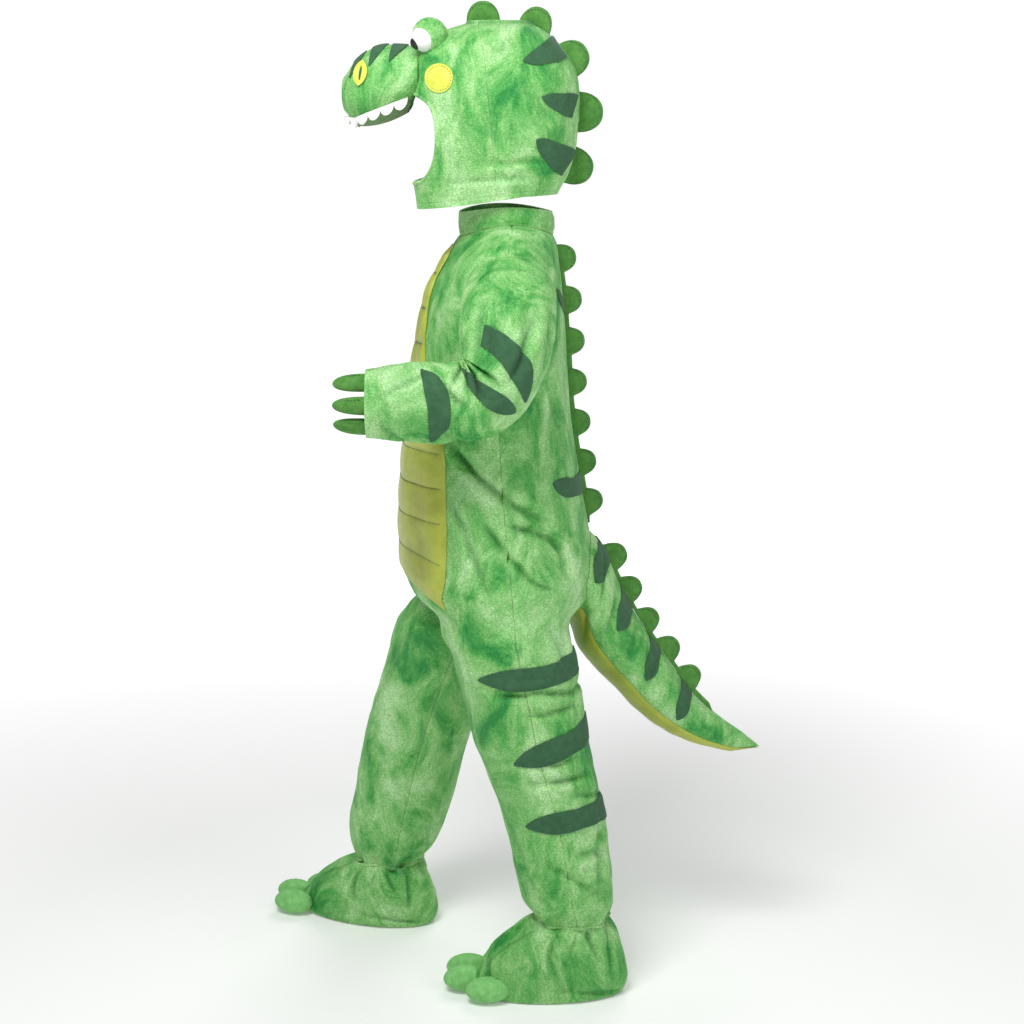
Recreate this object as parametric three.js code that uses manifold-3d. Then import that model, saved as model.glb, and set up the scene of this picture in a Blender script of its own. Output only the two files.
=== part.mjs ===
// A child's dinosaur costume in its worn form: a plush jumpsuit with a stuffed tail, a padded
// row of back spikes, clawed cuffs and foot covers, and a separate hood with a stuffed snout.
// Millimetres, +Z up. The wearer would face -Y, and +X is the wearer's left.
// The origin is the middle of the neck seam. Heights in the tables are above a level that lies
// FLOOR below the floor.
import * as THREE from 'three';
import { mergeVertices } from 'three/addons/utils/BufferGeometryUtils.js';
import Module from 'manifold-3d';

const wasm = await Module();
wasm.setup();

// Driving dimensions
const NECK_HEIGHT = 930;
const FLOOR = 12;
const PLUSH = 3;
const SATIN = 1.6;
const APPLIQUE = 1.4;
const SEAM = 0.3;
const HIP = 495;
const CROTCH = 452;
const HEAD_TURN = THREE.MathUtils.degToRad(-6);
const ANKLE_PLEATS = 8;
const ANKLE_PLEAT_DEPTH = 2.4;
const GATHER_HEIGHT = 34;

const COLOURS = {
  plush: 0x6fbf66, satin: 0xb9c14f, felt: 0x5f9348, stripe: 0x3c7350, toe: 0x86cc78,
  cheek: 0xd2d85c, olive: 0x6f8f5f, white: 0xe6e3e6, black: 0x141414, elastic: 0x20241f,
};
const ROUGHNESS = {
  plush: 0.95, satin: 0.45, felt: 0.7, stripe: 0.75, toe: 0.8,
  cheek: 0.8, olive: 0.85, white: 0.9, black: 0.4, elastic: 0.8,
};

// Tables: one row for each section, with the columns named in the first argument.
function table(columns, rows) {
  const names = columns.split(' ');
  return rows.map((row) => Object.fromEntries(names.map((name, i) => [name, row[i]])));
}

// Body sections: height at front and back, height at the side, front, back and half width.
const TORSO = table('z side front back half', [
  [922, 936, -52, 58, 57], [912, 931, -59, 62, 80], [893, 921, -70, 64, 104],
  [870, 905, -83, 67, 121], [842, 872, -93, 69, 128], [811, 832, -100, 72, 128],
  [781, 790, -106, 74, 125], [735, 737, -114, 77, 124], [690, 690, -118, 82, 127],
  [645, 645, -122, 89, 132], [600, 600, -124, 97, 139], [560, 560, -124, 104, 144],
  [525, 525, -122, 108, 147], [508, 508, -118, 106, 148], [495, 495, -112, 103, 149],
  [475, 475, -104, 98, 150], [452, 452, -100, 90, 150],
]);
// Leg sections: front, back, centre and half width in X, and where the inseam lies in Y.
const LEGS = {
  left: table('z front back x r inseam', [
    [495, -88, 78, 74, 74], [475, -82, 74, 76, 76], [452, -76, 74, 78, 78],
    [435, -71, 75, 83, 74], [414, -66, 78, 87, 71], [380, -57, 84, 91, 68],
    [324, -43, 92, 95, 64], [258, -19, 106, 98, 60], [201, -4, 115, 100, 58],
    [141, 8, 121, 101, 56], [124, 17, 120, 102, 53], [108, 32, 112, 103, 42],
  ].map(([z, front, back, x, r]) => [z, front, back, x, r, z > 445 ? -18 : (front + back) / 2])),
  right: table('z front back x r inseam', [
    [495, -98, 76, 74, 74], [475, -108, 60, 76, 76], [452, -118, 44, 78, 78],
    [435, -126, 30, 84, 76], [400, -136, 12, 95, 72], [359, -146, -4, 104, 67],
    [305, -161, -22, 116, 63], [252, -172, -38, 126, 60], [186, -184, -53, 138, 57],
    [141, -190, -66, 145, 55], [116, -186, -78, 148, 51], [96, -176, -98, 149, 40],
  ].map(([z, front, back, x, r]) => [z, front, back, x, r, z > 445 ? -18 : (front + back) / 2])),
};
const ANKLE = { left: 108, right: 96 };
const PANEL_COLUMNS = 8;
// Half a seam gap as a share of the way round a leg
const SEAM_TRIM = 0.0006;
const CORE_SPARE = 1.25;
const SLEEVE_COLUMNS = 14;
const SLEEVE_ROWS = 10;
// The way round a leg and a sleeve, and along a sleeve from one section to the next
const LEG_GIRTH = 410;
const SLEEVE_GIRTH = 270;
const SLEEVE_SECTION = 28;
// How far an applique lies above its panel's facets, so that it clears their ridges
const FACET_DEPTH = { body: 1.3, leg: 0.6, sleeve: 0.8, head: 0.6, mouth: 0.9 };
// Largest folds of the body, from one end to the other: u runs from centre front to centre back.
const BODY_FOLDS = table('side u1 z1 u2 z2 wide deep', [
  [1, 0.3, 700, 0.52, 600, 17, 5], [-1, 0.3, 690, 0.5, 596, 17, 5],
  [1, 0.36, 596, 0.72, 552, 15, 5], [-1, 0.36, 590, 0.72, 556, 15, 5],
  [1, 0.4, 404, 0.82, 384, 13, 5], [-1, 0.42, 410, 0.82, 384, 13, 5],
  [1, 0.4, 288, 0.85, 294, 14, 4], [-1, 0.36, 300, 0.85, 286, 14, 4],
  [1, 0.16, 440, 0.24, 300, 15, 4], [-1, 0.16, 440, 0.24, 310, 15, 4],
]);
const BODY_LEVELS = [922, 911, 893, 868, 835, 795, 750, 705, 664, 630, 597, 570, 540, 508,
  497, 486, 474, 459];
const LEG_LEVELS = [436, 412, 394, 372, 330, 292, 255, 205, 155, 127, 115];

// Sleeve sections, as for the left arm: centre, half sizes a (outward) and b (forward, then up),
// and the outward direction's X and Z.
const SLEEVES = {
  left: table('x y z a b outX outZ', [
    [88, -4, 868, 42, 46, 0.2, 1], [118, -6, 860, 45, 52, 0.35, 1],
    [145, -10, 841, 45, 54, 0.75, 0.7], [161, -14, 819, 43, 54, 1, 0.35],
    [168, -17, 799, 41, 50, 1, 0.1], [170, -26, 773, 41, 46, 1, 0], [171, -45, 755, 41, 46, 1, 0],
    [171, -72, 748, 40, 45, 1, 0], [170, -100, 748, 40, 45, 1, 0],
    [167, -135, 748, 38, 43, 1, 0], [163, -171, 748, 33, 38, 1, 0],
  ]),
  right: table('x y z a b outX outZ', [
    [88, 0, 868, 42, 46, 0.2, 1], [118, 0, 860, 45, 52, 0.35, 1],
    [145, 0, 841, 45, 54, 0.75, 0.7], [161, 2, 816, 43, 52, 1, 0.35],
    [168, 3, 790, 41, 48, 1, 0.1], [170, 1, 760, 41, 46, 1, 0], [170, -8, 730, 41, 45, 1, 0],
    [169, -24, 698, 40, 45, 1, 0], [167, -43, 664, 39, 43, 1, 0], [163, -64, 626, 34, 38, 1, 0],
  ]),
};
// Stripes, each a curved line through three places on its surface, and its half width. On a sleeve
// a is the share of the way round it and b the section number. On a leg b is the height.
const STRIPE_COLUMNS = 'a1 b1 a2 b2 a3 b3 wide';
const SLEEVE_STRIPES = table(STRIPE_COLUMNS, [
  [0.17, 8.3, 0, 7.7, -0.17, 8, 11], [0.15, 6.5, 0.03, 5.85, -0.13, 5.45, 9],
  [-0.14, 5.1, -0.01, 4.05, 0.1, 3.5, 10],
]);
const LEG_STRIPES = table(STRIPE_COLUMNS, [
  [0.38, 418, 0.55, 423, 0.74, 429, 12], [0.425, 318, 0.58, 338, 0.74, 350, 13],
  [0.395, 239, 0.56, 248, 0.74, 250, 12],
]);
const STRIPE_COLUMNS_ACROSS = 9;
// The belly panel: its edge's distance from the centre front
const BELLY = table('z edge', [
  [911, 10], [885, 16], [855, 24], [820, 38], [785, 53], [740, 76], [685, 100], [640, 107],
  [580, 114], [530, 113], [508, 106],
]);
const BELLY_COLUMNS = 10;

// Hood sections by height, and the outline of the face opening, the hem and the seam, seen
// from the side (forward is -y).
const HOOD = table('z front back half', [
  [1165, -43, 33, 36], [1158, -66, 46, 52], [1150, -84, 56, 63], [1140, -100, 66, 72],
  [1126, -107, 77, 81], [1103, -110, 86, 88], [1080, -111, 88, 90], [1055, -111, 87, 89],
  [1025, -110, 84, 85], [993, -107, 75, 78], [970, -104, 63, 72], [930, -100, 58, 68],
]);
const CROWN = { y: -5, z: 1168 };
const FACE_EDGE = [[-104, 983], [-93, 987], [-84, 999], [-78, 1018], [-76, 1033], [-77, 1052],
  [-82, 1069], [-93, 1080], [-104, 1086]];
const HEM_LINE = [[-130, 951], [-95, 954], [-49, 959], [22, 969], [90, 972]];
const HOOD_SEAM = [[-31, 1200], [-29, 1160], [-22, 1126], [-10, 1000], [-7, 940]];
const HOOD_SPIKES = table('y1 z1 y2 z2 high', [
  [-43, 1165, -4, 1168, 24], [17, 1167, 53, 1152, 25], [64, 1142, 86, 1105, 25],
  [88, 1088, 86, 1041, 29], [85, 1025, 70, 983, 28],
]);
const SPIKE_THICK = 9;
const SPIKE_SUNK = 4;
// A spike is at its full thickness from this height on. Its section: across and up, as shares.
const SPIKE_FULL = 14;
const SPIKE_SECTION = [[-0.5, 0], [-0.42, 0.7], [0, 1], [0.42, 0.7], [0.5, 0]];

const SNOUT = table('y top bottom half', [
  [-98, 1136, 1080, 57], [-108, 1139, 1069, 61], [-124, 1141, 1060, 63], [-140, 1141, 1054, 62],
  [-155, 1136, 1051, 58], [-167, 1128, 1051, 51], [-177, 1117, 1056, 42], [-184, 1106, 1064, 30],
]);
const SNOUT_TIP = { y: -188.5, z: 1088 };
const SNOUT_ROUND = 2.2;
const HOOD_ROUND = 2.5;
const HOOD_LEVELS = [1165, 1157, 1146, 1130, 1108, 1082, 1052, 1020, 990, 962];
const SNOUT_STEPS = [-98, -108, -124, -140, -154, -166, -176, -183];
const LIP_REAR = { y: -104, z: 1082 };
const LIP_FRONT = { y: -173, z: 1056 };
// The mouth's underside: its rear and front ends, and its share of the width at the lip
const MOUTH = { rear: -108, front: -168, share: 0.93 };
const TEETH = 13;
const TOOTH_HEIGHT = 10;
const TOOTH_ROOT = 2.2;
const TEETH_STEPS = [-110, -120, -130, -140, -150, -159, -166, -171];
const NOSE_FRONT = [13, -178.5, 1059];
const NOSTRIL = { y: -163, z: 1108, half: 7, high: 12, lean: 2 };
const CHEEK = { y: -73, z: 1102, radius: 16 };

const TAIL = table('topY topZ lowY lowZ half', [
  [84, 582, 50, 480, 70], [117, 550, 79, 450, 72], [136, 510, 90, 419, 66],
  [159, 464, 109, 394, 58], [183, 426, 137, 364, 50], [207, 394, 172, 328, 42],
  [232, 360, 208, 302, 34], [264, 327, 244, 287, 25], [300, 300, 284, 276, 15],
]);
const TAIL_TIP = { y: 323, z: 280 };
const TAIL_UNDERSIDE_ANGLE = 118;

const SPINE_BACK = [[60, 915], [66, 885], [71, 850], [74, 811], [77, 775], [79, 735], [84, 690],
  [91, 645], [99, 600], [105, 574]];
const SPINE_BACK_BUMPS = { first: 22, pitch: 49.5, count: 7, half: 17, high: 22 };
const SPINE_TAIL_BUMPS = { first: 20, pitch: 46.5, count: 5, half: 18, high: 24 };
const SPINE_STRIP = 5;
const SPINE_TAIL_STEPS = [1.12, 1.6, 2, 2.5, 3, 3.5, 4, 4.5, 5, 5.5, 6, 6.5, 7];

// A foot cover's sections, from the ankle down: back and front along the foot, half width.
const FOOT = table('z back front half', [
  [97, -40, 40, 40], [91, -46, 54, 45], [81, -53, 73, 49], [66, -61, 96, 50],
  [49, -67, 111, 50], [33, -69, 122, 49], [20, -66, 125, 47], [13, -62, 121, 44],
]);
const FEET = {
  left: { x: 103, y: 72, turn: -4, toes: [[34, 104], [-1, 130], [-36, 126]] },
  right: { x: -149, y: -139, turn: -27, toes: [[-34, 110], [0, 137], [35, 124]] },
};
const TOE = { long: 27, wide: 17, high: 15.5, clear: 0.6 };
const CLAW = { long: 36, root: 10.5, thick: 6, sunk: 9, droop: 4, spread: 58, sides: 6, band: 4 };
const CLAW_STEPS = [0, 0.35, 0.65, 0.88];
// The elastic lies flat up to a share of its reach, then rises to the cover's wall.
const STRAP = { reach: 42, forward: 22, half: 11, flat: 0.86, full: 0.9, high: 1.8, rise: 13, thick: 1.2 };
const COLLAR_TOP = { z: 950, side: 957, front: -53, back: 57, half: 58 };
const COLLAR_TAB = { from: 0.49, to: 0.57, top: 0.2, low: 0.8 };
// The eyes: the lid's centre on the left and half sizes, the white's and the pupil's radius, how far
// each lies along the look direction, and that direction
const EYE = {
  x: 50, y: -84, z: 1150, lid: [17, 20, 20], white: 16, whiteAhead: 6, pupil: 8, pupilAhead: 11,
  look: [0.3, -0.82, -0.48],
};

// Interpolation
const clamp = THREE.MathUtils.clamp;
const smooth = (t) => THREE.MathUtils.smoothstep(t, 0, 1);
const mix = THREE.MathUtils.lerp;

// Every column of a table at a value of its key column, on one smooth curve through the rows.
function at(rows, key, value) {
  const falling = rows[0][key] > rows[rows.length - 1][key];
  const order = falling ? [...rows].reverse() : rows;
  const last = order.length - 1;
  const place = clamp(value, order[0][key], order[last][key]);
  let i = order.findIndex((row) => row[key] > place) - 1;
  if (i < 0) i = last - 1;
  const [lower, upper] = [order[i], order[i + 1]];
  const span = upper[key] - lower[key];
  const t = (place - lower[key]) / span;
  const slope = (j, name) => {
    const [a, b] = [order[Math.max(j - 1, 0)], order[Math.min(j + 1, last)]];
    return (b[name] - a[name]) / (b[key] - a[key]);
  };
  const out = {};
  for (const name of Object.keys(lower)) {
    const [h1, h2] = [t * t * (3 - 2 * t), t * (1 - t)];
    out[name] = mix(lower[name], upper[name], h1)
      + span * h2 * ((1 - t) * slope(i, name) - t * slope(i + 1, name));
  }
  return out;
}

// The level at a share of the way down a list of levels.
function stepped(levels) {
  return (share) => {
    const place = share * (levels.length - 1);
    const i = Math.min(Math.floor(place), levels.length - 2);
    return mix(levels[i], levels[i + 1], place - i);
  };
}

// Every column at a fractional row number.
function atRow(rows, number) {
  const counted = rows.map((row, index) => ({ ...row, index }));
  return at(counted, 'index', number);
}

// Solids
function signedVolume(points, faces) {
  return faces.reduce((sum, [a, b, c]) => (
    sum + points[a].dot(new THREE.Vector3().crossVectors(points[b], points[c])) / 6), 0);
}

function makeGeometry(points, faces) {
  const outward = signedVolume(points, faces) > 0 ? faces : faces.map(([a, b, c]) => [a, c, b]);
  const geometry = new THREE.BufferGeometry();
  geometry.setAttribute('position', new THREE.Float32BufferAttribute(
    points.flatMap((p) => [p.x, p.y, p.z]), 3));
  geometry.setIndex(outward.flat());
  return geometry;
}

// A closed solid through rings of points. A ring of one point is a pole.
function loft(rings) {
  const points = [];
  const faces = [];
  const starts = rings.map((ring) => {
    const start = points.length;
    points.push(...ring);
    return start;
  });
  const count = Math.max(...rings.map((ring) => ring.length));
  const id = (r, i) => starts[r] + (rings[r].length === 1 ? 0 : i % count);
  for (let r = 0; r < rings.length - 1; r++) {
    for (let i = 0; i < count; i++) {
      const [a, b, c, d] = [id(r, i), id(r, i + 1), id(r + 1, i + 1), id(r + 1, i)];
      if (a !== b) faces.push([a, b, c]);
      if (c !== d) faces.push([a, c, d]);
    }
  }
  for (const r of [0, rings.length - 1]) {
    if (rings[r].length > 1) {
      const middle = rings[r].reduce((sum, p) => sum.add(p), new THREE.Vector3()).divideScalar(count);
      points.push(middle);
      for (let i = 0; i < count; i++) {
        const edge = [id(r, i), id(r, i + 1)];
        if (r === 0) edge.reverse();
        faces.push([...edge, points.length - 1]);
      }
    }
  }
  return makeGeometry(points, faces);
}

// The unit normal of a surface, on the side away from the point called core.
function normalOf(point, u, v, core, closed) {
  const step = 0.004;
  const [u1, u2] = closed ? [u - step, u + step] : [Math.max(u - step, 0), Math.min(u + step, 1)];
  const [v1, v2] = [Math.max(v - step, 0), Math.min(v + step, 1)];
  const across = point(u2, v).sub(point(u1, v));
  const along = point(u, v2).sub(point(u, v1));
  const normal = across.cross(along).normalize();
  const here = point(u, v).sub(core(u, v));
  return normal.dot(here) < 0 ? normal.negate() : normal;
}

// A wall of cloth: its outer face is point(u, v) moved out by lift + thick, its inner face is
// moved out by lift. A closed wall is a tube in u. keep may hold a point back from a seam.
function clothWall({
  point, core, across, along, thick = PLUSH, lift = -PLUSH, closed = false, keep = (place) => place,
}) {
  const columns = closed ? across : across + 1;
  const outer = [];
  const inner = [];
  for (let j = 0; j <= along; j++) {
    for (let i = 0; i < columns; i++) {
      const [u, v] = [i / across, j / along];
      const normal = normalOf(point, u, v, core, closed);
      const base = point(u, v);
      inner.push(keep(base.clone().addScaledVector(normal, lift)));
      outer.push(keep(base.clone().addScaledVector(normal, lift + thick)));
    }
  }
  const half = outer.length;
  const id = (i, j) => j * columns + (i % columns);
  const faces = [];
  const quad = (a, b, c, d) => faces.push([a, b, c], [a, c, d]);
  for (let j = 0; j < along; j++) {
    for (let i = 0; i < across; i++) {
      const [a, b, c, d] = [id(i, j), id(i + 1, j), id(i + 1, j + 1), id(i, j + 1)];
      quad(a, b, c, d);
      quad(half + d, half + c, half + b, half + a);
    }
  }
  for (let i = 0; i < across; i++) {
    quad(id(i + 1, 0), id(i, 0), half + id(i, 0), half + id(i + 1, 0));
    quad(id(i, along), id(i + 1, along), half + id(i + 1, along), half + id(i, along));
  }
  if (!closed) {
    for (let j = 0; j < along; j++) {
      quad(id(0, j), id(0, j + 1), half + id(0, j + 1), half + id(0, j));
      quad(id(across, j + 1), id(across, j), half + id(across, j), half + id(across, j + 1));
    }
  }
  return makeGeometry([...outer, ...inner], faces);
}

// A thin round or leaf-shaped patch on a surface: place(x, y) gives a point and its normal.
function patch(place, reach, { around, lift }) {
  const ringAt = (share, height) => Array.from({ length: around }, (_, i) => {
    const angle = (2 * Math.PI * i) / around;
    const [x, y] = reach(angle);
    const { point, normal } = place(x * share, y * share);
    return point.addScaledVector(normal, height);
  });
  const pole = (height) => {
    const { point, normal } = place(0, 0);
    return [point.addScaledVector(normal, height)];
  };
  const top = lift + APPLIQUE;
  return loft([pole(lift), ringAt(0.5, lift), ringAt(1, lift), ringAt(1, top), ringAt(0.5, top),
    pole(top)]);
}

function toSolid(geometry) {
  const bare = new THREE.BufferGeometry();
  bare.setAttribute('position', geometry.getAttribute('position').clone());
  if (geometry.getIndex()) bare.setIndex(geometry.getIndex().clone());
  const merged = mergeVertices(bare, 1e-4);
  return new wasm.Manifold(new wasm.Mesh({
    numProp: 3,
    vertProperties: new Float32Array(merged.getAttribute('position').array),
    triVerts: new Uint32Array(merged.getIndex().array),
  }));
}

function toGeometry(solid) {
  const mesh = solid.getMesh();
  const geometry = new THREE.BufferGeometry();
  const positions = [];
  for (let i = 0; i < mesh.vertProperties.length; i += mesh.numProp) {
    positions.push(...mesh.vertProperties.slice(i, i + 3));
  }
  geometry.setAttribute('position', new THREE.Float32BufferAttribute(positions, 3));
  geometry.setIndex([...mesh.triVerts]);
  return geometry;
}

const cut = (geometry, ...tools) => toGeometry(
  tools.reduce((solid, tool) => solid.subtract(tool), toSolid(geometry)));

// A prism whose outline lies in the side view (y, z) and that runs from x1 to x2.
function sidePrism(outline, x1, x2) {
  const shape = new THREE.Shape(outline.map(([y, z]) => new THREE.Vector2(y, z)));
  const prism = new THREE.ExtrudeGeometry(shape, { depth: x2 - x1, bevelEnabled: false });
  prism.applyMatrix4(new THREE.Matrix4().set(
    0, 0, 1, x1, 1, 0, 0, 0, 0, 1, 0, 0, 0, 0, 0, 1));
  return toSolid(prism);
}

// The group that is exported, with the head turned inside it
const costume = new THREE.Group();
const standing = new THREE.Group();
standing.position.z = -NECK_HEIGHT;
costume.add(standing);
const head = new THREE.Group();
head.rotation.z = HEAD_TURN;
standing.add(head);

function addNode(name, geometry, finish, parent = standing) {
  const material = new THREE.MeshStandardMaterial({
    color: COLOURS[finish], roughness: ROUGHNESS[finish], metalness: 0,
  });
  const mesh = new THREE.Mesh(geometry, material);
  mesh.name = name;
  parent.add(mesh);
}

// Jumpsuit
const SIDES = { left: 1, right: -1 };

function foldDepth(side, u, z, girth) {
  return BODY_FOLDS.filter((fold) => fold.side === side).reduce((sum, fold) => {
    const line = new THREE.Vector2((fold.u2 - fold.u1) * girth, fold.z2 - fold.z1);
    const here = new THREE.Vector2((u - fold.u1) * girth, z - fold.z1);
    const t = clamp(here.dot(line) / line.lengthSq(), 0, 1);
    const away = here.sub(line.multiplyScalar(t)).length();
    return sum + fold.deep * Math.sin(Math.PI * mix(0.15, 0.85, t)) * Math.exp(-((away / fold.wide) ** 2));
  }, 0);
}

// The jumpsuit's outer face. u runs from centre front (0) past the side seam (0.5) to centre back.
function bodyPoint(name, u, z) {
  const side = SIDES[name];
  const torso = at(TORSO, 'z', z);
  const leg = at(LEGS[name], 'z', z);
  const share = smooth((HIP - z) / (HIP - CROTCH));
  const half = Math.PI * u;
  const full = 2 * Math.PI * u;
  const torsoPlace = new THREE.Vector3(
    torso.half * Math.sin(half),
    (torso.front + torso.back) / 2 - ((torso.back - torso.front) / 2) * Math.cos(half),
    torso.z + (torso.side - torso.z) * Math.sin(half) ** 2);
  const middle = (leg.front + leg.back) / 2;
  const pull = (leg.inseam - middle) * ((1 + Math.cos(full)) / 2) ** 2;
  const low = smooth((ANKLE[name] + GATHER_HEIGHT - z) / GATHER_HEIGHT);
  const pleat = ANKLE_PLEAT_DEPTH * low * Math.cos(ANKLE_PLEATS * full);
  const legPlace = new THREE.Vector3(
    leg.x - (leg.r + pleat) * Math.cos(full),
    middle - ((leg.back - leg.front) / 2 + pleat) * Math.sin(full) + pull,
    Math.min(z, HIP));
  const place = torsoPlace.lerp(legPlace, share);
  const centre = new THREE.Vector3(share * leg.x, 0, place.z);
  centre.y = mix((torso.front + torso.back) / 2, middle, share);
  const girth = mix(420, 400, share);
  const inward = centre.sub(place).setZ(0).normalize();
  place.addScaledVector(inward, foldDepth(side, u, z, girth) * Math.sin(half));
  return place.setX(side * (place.x + SEAM / 2));
}

function bodyCentre(name, z) {
  const share = smooth((HIP - z) / (HIP - CROTCH));
  const leg = at(LEGS[name], 'z', z);
  const torso = at(TORSO, 'z', z);
  return new THREE.Vector3(
    SIDES[name] * mix(1, leg.x, share),
    mix((torso.front + torso.back) / 2, (leg.front + leg.back) / 2, share),
    z);
}

// The filled body with the panels' own facets, grown by one seam gap. It cuts what is seated on
// the jumpsuit: one solid for the trunk's half and one for the leg.
function bodyCore(name) {
  const around = 2 * PANEL_COLUMNS;
  const side = SIDES[name];
  const ringAt = (z, count) => {
    const centre = bodyCentre(name, z);
    return Array.from({ length: count }, (_, i) => {
      const place = bodyPoint(name, i / around, z);
      const out = place.clone().sub(centre);
      if (z < HIP) out.setZ(0);
      return place.addScaledVector(out.normalize(), SEAM * CORE_SPARE);
    });
  };
  const torsoRings = BODY_LEVELS.map((z) => {
    const ring = ringAt(z, around + 1);
    ring[0].x = -side;
    ring[around].x = -side;
    return ring;
  });
  const legRings = [BODY_LEVELS[BODY_LEVELS.length - 1], ...LEG_LEVELS, ANKLE[name]]
    .map((z) => ringAt(z, around));
  return [toSolid(loft(torsoRings)), toSolid(loft(legRings))];
}

function sleeveFrame(rows, k) {
  const step = 0.05;
  const row = atRow(rows, k);
  const before = atRow(rows, Math.max(k - step, 0));
  const after = atRow(rows, Math.min(k + step, rows.length - 1));
  const along = new THREE.Vector3(after.x - before.x, after.y - before.y, after.z - before.z);
  along.normalize();
  const out = new THREE.Vector3(row.outX, 0, row.outZ);
  out.addScaledVector(along, -out.dot(along)).normalize();
  const up = new THREE.Vector3().crossVectors(along, out);
  return { row, along, out, up };
}

// A sleeve's outer face at section number k and angle round it, with less or more radius.
function sleevePoint(name, k, angle, grow = 0) {
  const { row, out, up } = sleeveFrame(SLEEVES[name], k);
  const place = new THREE.Vector3(row.x, row.y, row.z)
    .addScaledVector(out, (row.a + grow) * Math.cos(angle))
    .addScaledVector(up, (row.b + grow) * Math.sin(angle));
  return place.setX(SIDES[name] * place.x);
}

function sleeveCentre(name, k) {
  const row = atRow(SLEEVES[name], k);
  return new THREE.Vector3(SIDES[name] * row.x, row.y, row.z);
}

function sleeveTube(name) {
  const last = SLEEVES[name].length - 1;
  return clothWall({
    point: (u, v) => sleevePoint(name, v * last, 2 * Math.PI * u),
    core: (u, v) => sleeveCentre(name, v * last),
    across: SLEEVE_COLUMNS, along: SLEEVE_ROWS, closed: true,
  });
}

function sleeveHollow(name) {
  const around = 14;
  const steps = [0, 1, 1.6, 2.2, 2.8, 3.4, 4];
  return toSolid(loft(steps.map((k) => Array.from({ length: around }, (_, i) => (
    sleevePoint(name, k, (2 * Math.PI * i) / around, -PLUSH))))));
}

const cores = [...bodyCore('left'), ...bodyCore('right')];

function addJumpsuit() {
  for (const [name, side] of Object.entries(SIDES)) {
    const rows = [...BODY_LEVELS, ...LEG_LEVELS, ANKLE[name]];
    const levelAt = stepped(rows);
    const armhole = sleeveHollow(name);
    for (const [panel, from, to] of [['front', 0, 0.5], ['back', 0.5, 1]]) {
      const point = (u, v) => {
        const z = levelAt(v);
        const inseam = SEAM_TRIM * smooth((HIP - z) / (HIP - CROTCH));
        const [first, last] = panel === 'front' ? [inseam, SEAM_TRIM] : [SEAM_TRIM, inseam];
        return bodyPoint(name, mix(from + first, to - last, u), z);
      };
      const wall = clothWall({
        point,
        core: (u, v) => bodyCentre(name, levelAt(v)),
        across: PANEL_COLUMNS,
        along: rows.length - 1,
        keep: (place) => place.setX(side * Math.max(side * place.x, SEAM / 2)),
      });
      addNode(`${panel}_${name}`, cut(wall, armhole), 'plush');
    }
    addNode(`sleeve_${name}`, cut(sleeveTube(name), ...cores), 'plush');
  }
}

function addCollar() {
  const seam = TORSO[0];
  const low = { ...seam, z: seam.z + SEAM, side: seam.side + SEAM };
  const point = (u, v) => {
    const angle = 2 * Math.PI * u;
    const row = {};
    for (const key of Object.keys(COLLAR_TOP)) row[key] = mix(COLLAR_TOP[key], low[key], v);
    return new THREE.Vector3(
      row.half * Math.sin(angle),
      (row.front + row.back) / 2 - ((row.back - row.front) / 2) * Math.cos(angle),
      row.z + (row.side - row.z) * Math.sin(angle) ** 2);
  };
  const core = (u, v) => new THREE.Vector3(0, 0, mix(COLLAR_TOP.z, low.z, v));
  addNode('collar', clothWall({ point, core, across: 22, along: 2, closed: true }), 'plush');
  const tab = (u, v) => point(
    mix(COLLAR_TAB.from, COLLAR_TAB.to, u), mix(COLLAR_TAB.top, COLLAR_TAB.low, v));
  addNode('collar_tab', clothWall({
    point: tab, core, across: 4, along: 2, thick: APPLIQUE, lift: SEAM,
  }), 'white');
}

function addBelly() {
  const levels = BODY_LEVELS.filter((z) => z <= BELLY[0].z && z >= BELLY[BELLY.length - 1].z);
  const levelAt = stepped(levels);
  const point = (u, v) => {
    const z = levelAt(v);
    const across = 2 * u - 1;
    const name = across < 0 ? 'right' : 'left';
    const row = at(TORSO, 'z', z);
    const reach = Math.asin(Math.min(at(BELLY, 'z', z).edge / row.half, 1)) / Math.PI;
    const place = bodyPoint(name, Math.abs(across) * reach, z);
    if (Math.abs(across) < 1e-6) place.x = 0;
    return place;
  };
  const wall = clothWall({
    point,
    core: (u, v) => new THREE.Vector3((u - 0.5) * BELLY[0].edge, 0, levelAt(v)),
    across: BELLY_COLUMNS,
    along: levels.length - 1,
    thick: SATIN,
    lift: SEAM + FACET_DEPTH.body,
  });
  addNode('belly', wall, 'satin');
}

// A stripe's own surface on a host surface: u runs along it and v across. The scale is the size of
// one step of a and of b on the host. A leg's stripe is pointed at one end, a sleeve's at both.
function stripeSurface(stripe, host, [aScale, bScale], pointed) {
  return (u, v) => {
    const [w1, w2, w3] = [(1 - u) * (1 - 2 * u), 4 * u * (1 - u), u * (2 * u - 1)];
    const [d1, d2, d3] = [4 * u - 3, 4 - 8 * u, 4 * u - 1];
    const a = stripe.a1 * w1 + stripe.a2 * w2 + stripe.a3 * w3;
    const b = stripe.b1 * w1 + stripe.b2 * w2 + stripe.b3 * w3;
    const along = (stripe.a1 * d1 + stripe.a2 * d2 + stripe.a3 * d3) * aScale;
    const rise = (stripe.b1 * d1 + stripe.b2 * d2 + stripe.b3 * d3) * bScale;
    const run = Math.hypot(along, rise);
    const swell = Math.sin(Math.PI * (pointed ? u : Math.min(u * 1.15, 0.62))) ** 0.8;
    const off = (2 * v - 1) * stripe.wide * mix(0.06, 1, swell);
    return host(a - (off * rise) / run / aScale, b + (off * along) / run / bScale);
  };
}

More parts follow.
